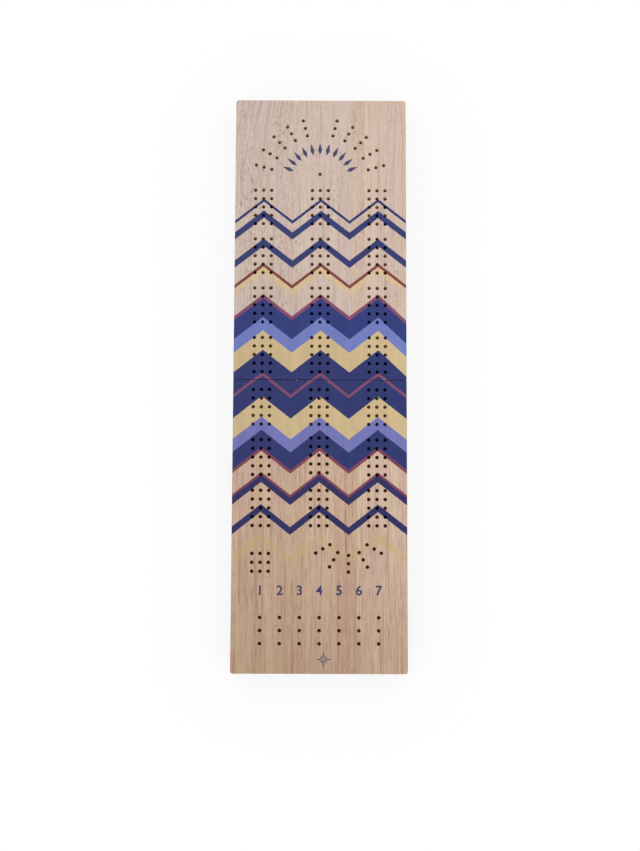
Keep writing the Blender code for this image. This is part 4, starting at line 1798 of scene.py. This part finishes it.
@dataclass
class Studio:
    """A clear floor, soft light from all round with a large lamp overhead, and the camera, in metres."""

    ambient: float = 0.68
    lamp_watts: float = 3.8
    lamp_size: float = 0.9
    lamp_place: Point = (-0.25, 0.3, 0.95)
    floor_size: float = 3.0
    shadow_reach: float = 0.055
    shadow_depth: float = 0.16
    shadow_samples: int = 4
    camera_place: Point = (-0.0032, -0.1022, 0.72145)
    camera_turn: Point = (6.14, -0.291, 0.2)
    lens: float = 51.07
    sensor: float = 36.0
    near_clip: float = 0.01

    def light(self) -> None:
        """Lights the board at a plain level. What the camera sees behind it is white."""
        world = bpy.data.worlds.new("white_surround")
        world.use_nodes = True
        bpy.context.scene.world = world
        canvas = Canvas(world.node_tree)
        rays = canvas.add("LightPath").outputs
        seen = canvas.add("Math", {0: rays["Is Camera Ray"], 1: rays["Is Glossy Ray"]}, operation="MAXIMUM")
        seen = canvas.add("Math", {0: seen, 1: rays["Is Transmission Ray"]}, operation="MAXIMUM")
        strength = canvas.add("MapRange", {"Value": seen, "To Min": self.ambient, "To Max": 1.0})
        surround = world.node_tree.nodes["Background"]
        surround.inputs["Color"].default_value = linear(WHITE)
        canvas.feed(surround.inputs["Strength"], strength)
        lamp = bpy.data.lights.new("softbox", "AREA")
        lamp.energy, lamp.shape, lamp.size = self.lamp_watts, "DISK", self.lamp_size
        softbox = bpy.data.objects.new("softbox", lamp)
        softbox.location = self.lamp_place
        softbox.rotation_euler = (-Vector(self.lamp_place)).to_track_quat("-Z", "Y").to_euler()
        bpy.context.scene.collection.objects.link(softbox)

    def lay_floor(self) -> None:
        """Lays a clear floor that darkens softly where the board keeps light off it.

        It has no colour of its own, so that the folded half shows through it.
        """
        reach = self.floor_size / 2
        mesh = bpy.data.meshes.new("pale_floor")
        spots = [(-reach, -reach, 0), (reach, -reach, 0), (reach, reach, 0), (-reach, reach, 0)]
        mesh.from_pydata(spots, [], [(0, 1, 2, 3)])
        floor = bpy.data.objects.new("pale_floor", mesh)
        bpy.context.scene.collection.objects.link(floor)
        material = bpy.data.materials.new("pale_floor")
        material.use_nodes = True
        tree = material.node_tree
        canvas = Canvas(tree)
        camera_ray = canvas.add("LightPath").outputs["Is Camera Ray"]
        behind = canvas.add("NewGeometry").outputs["Backfacing"]
        front = canvas.add("Math", {0: 1.0, 1: behind}, operation="SUBTRACT")
        seen = canvas.add("Math", {0: camera_ray, 1: front}, operation="MULTIPLY")
        near = {"Distance": self.shadow_reach}
        occlusion = canvas.add("AmbientOcclusion", near, samples=self.shadow_samples)
        ends = {"To Min": self.shadow_depth, "To Max": 0.0}
        shaded = canvas.add("MapRange", {"Value": occlusion.outputs["AO"], **ends})
        shaded = canvas.add("Math", {0: shaded, 1: seen}, operation="MULTIPLY")
        passing = canvas.add("Math", {0: 1.0, 1: shaded}, operation="SUBTRACT")
        clear = canvas.add("BsdfTransparent", {"Color": passing})
        tree.nodes.remove(tree.nodes["Principled BSDF"])
        canvas.feed(tree.nodes["Material Output"].inputs["Surface"], clear)
        mesh.materials.append(material)

    def set_camera(self) -> None:
        """Sets the camera where the photograph was taken from."""
        camera = bpy.data.cameras.new("camera")
        camera.lens, camera.sensor_width, camera.clip_start = self.lens, self.sensor, self.near_clip
        stand = bpy.data.objects.new("camera", camera)
        stand.location = self.camera_place
        stand.rotation_euler = [math.radians(turn) for turn in self.camera_turn]
        bpy.context.scene.collection.objects.link(stand)
        bpy.context.scene.camera = stand

    def build(self) -> None:
        """Sets up the whole studio."""
        self.light()
        self.lay_floor()
        self.set_camera()
        bpy.context.scene.view_settings.view_transform = "Standard"


UPPER_STRIPS = (
    Strip(-60.0, "#F2F6FD", pores=1.3, lean=-0.0018),
    Strip(-17.0, "#F7FAFF", pores=0.75, blend=16.0),
    Strip(18.5, "#FAF5F4", 0.1, pores=0.9),
    Strip(26.0, "#FFFFFF", 0.04, pores=0.5),
    Strip(34.0, "#FBFAFC", 0.12, pores=0.9),
    Strip(37.5, "#FAFAFC", pores=0.8),
)
LOWER_STRIPS = (
    Strip(-60.0, "#F0EEE8"),
    Strip(-38.0, "#EBE6DF"),
    Strip(-32.0, "#F3F1EE"),
    Strip(-24.5, "#EEE9E2", 0.1),
    Strip(-8.0, "#F4F2EF", 0.12),
    Strip(10.0, "#F2E9E4"),
    Strip(21.5, "#FCFDFB", 0.14),
    Strip(37.0, "#FEFFFF", 0.08),
)
UPPER_ZIGZAG = Zigzag(
    peak_x=0.26,
    stripes=(
        Stripe(-30.0, NAVY), Stripe(2.39, ROSE, 0.5), Stripe(4.42, NAVY, 0.5), Stripe(17.76, STRAW),
        Stripe(29.31, PERIWINKLE), Stripe(37.28, NAVY_BLUER), Stripe(48.62, ROSE, 0.6), Stripe(51.08, BARE),
        Stripe(63.45, PALE_STRAW, 2.6), Stripe(67.55, BRICK), Stripe(69.78, BARE), Stripe(80.05, NAVY_WASHED),
        Stripe(84.57, BARE), Stripe(97.17, NAVY_WASHED), Stripe(101.63, BARE), Stripe(106.86, NAVY),
        Stripe(108.8, BARE),
    ),
    stretch=Stretch(from_x=34.2, low=10.3, high=56.0, extra=0.165),
)
LOWER_ZIGZAG = Zigzag(
    peak_x=-0.11,
    stripes=(
        Stripe(-190.0, BARE), Stripe(-94.6, FAINT_STRAW, 3.2), Stripe(-89.0, BARE, 2.2),
        Stripe(-77.25, DUSK_NAVY), Stripe(-72.7, BARE), Stripe(-60.03, DUSK_NAVY), Stripe(-55.7, BERRY, 0.5),
        Stripe(-54.07, BARE), Stripe(-41.83, BERRY), Stripe(-39.65, NAVY, 0.6),
        Stripe(-29.38, DUSK_PERIWINKLE), Stripe(-21.8, STRAW), Stripe(-9.66, NAVY), Stripe(2.5, ROSE, 0.5),
        Stripe(4.42, NAVY, 0.5),
    ),
)


def woods(half: Half) -> tuple[Rubberwood, Rubberwood, Rubberwood]:
    """Picks the woods of a half.

    Args:
        half: The half, the lower one being the warmer of the two.

    Returns:
        The panel's wood, then the rails' wood across the board and lengthways.
    """
    tones = {
        Half.UPPER: ("#E1CEBA", "#DFC6BA", "#C2A592", "#82624F"),
        Half.LOWER: ("#E5CDB3", "#DEC1B2", "#BA9580", "#725040"),
    }[half]
    figure = {
        Half.UPPER: {"pore_share": 0.5, "vessel_share": 0.12},
        Half.LOWER: {"pore_share": 0.22, "vessel_share": 0.4, "far_tint": "#EEE9E2"},
    }[half]
    strips = UPPER_STRIPS if half is Half.UPPER else LOWER_STRIPS
    return (
        Rubberwood(f"{half.label}_rubberwood_face", *tones, strips=strips, **figure),
        Rubberwood(f"{half.label}_rubberwood_across", *tones, Along.X, **figure),
        Rubberwood(f"{half.label}_rubberwood_lengthways", *tones, Along.Y, **figure),
    )


def main() -> None:
    """Builds the board on its frame, then the studio."""
    # Rolled brass, brushed along the hinge: warm yellow with fine lines, and duller where it has tarnished.
    brass = Metal("brushed_brass", "#BFA468", "#A68C58", 0.3, Mottling((4.0, 0.12, 0.12))).material()
    # Nickel plating, tumbled: a smooth pale grey without a direction.
    nickel = Metal("nickel_plate", "#B2B0AA", "#96938C", 0.24, Mottling((0.3, 0.3, 0.3))).material()
    # Natural rubber, compression-moulded: nearly black and matt, greyer where it has rubbed.
    rubber = Moulded("moulded_rubber", "#1E1E20", "#3A3A3C", 0.65, 0.5, 1.52).material()
    # Polystyrene, injection-moulded in a polished mould: even colour with a small bright highlight.
    plastics = {
        PegColour.RED: Moulded("red_styrene", "#A32638", "#BE5A64", 0.25, 0.9, 1.59).material(),
        PegColour.YELLOW: Moulded("yellow_styrene", "#DDB04E", "#E6C988", 0.25, 0.9, 1.59).material(),
        PegColour.NAVY: Moulded("navy_styrene", "#2C3A78", "#5A6496", 0.25, 0.9, 1.59).material(),
    }
    # Rubberwood, drilled with a dull bit: pale raw wood in the upper half, burnt brown in the lower; the
    # burnt tones are partly painted shade of the deep holes.
    bores = {Half.UPPER: ("#EBD4B8", "#C29F76"), Half.LOWER: ("#D29A4E", "#946028")}
    panels = {Half.UPPER: (UpperPanel, UPPER_ZIGZAG), Half.LOWER: (LowerPanel, LOWER_ZIGZAG)}
    for half, (panel, zigzag) in panels.items():
        face_wood, across, lengthways = woods(half)
        face_z = corners(f"{half.label}_playing_panel")[1].z
        printed = PrintedWood(f"{half.label}_printed_rubberwood", face_wood, zigzag, face_z).material()
        drilled = ScorchedBore(f"{half.label}_scorched_bore", *bores[half], zigzag).material()
        panel(half, printed, drilled).build()
        TrayFrame(half, across.material(), lengthways.material()).build()
        for hand in Hand:
            RubberFoot(half, hand, rubber).build()
            DiscMagnet(half, hand, nickel).build()
    # Screen-printing ink, air-dried: flat, satin and opaque, and greyer where it has faded.
    ink = Moulded("navy_screen_ink", "#201E56", "#343670", 0.5, 0.6, 1.5).material()
    faded = Moulded("faded_screen_ink", "#6A5468", "#8A7480", 0.5, 0.6, 1.5).material()
    PrintedMarks(ink, faded).build()
    PegLid(woods(Half.LOWER)[1].material()).build()
    ButtHinge(Hand.LEFT, brass).build()
    ButtHinge(Hand.RIGHT, brass, first_turn=154.0).build()
    for colour, plastic in plastics.items():
        for number in (1, 2, 3):
            Peg(colour, number, plastic).build()
    Studio().build()


if __name__ == "__main__":
    logging.basicConfig(level=logging.INFO, format="%(message)s")
    main()
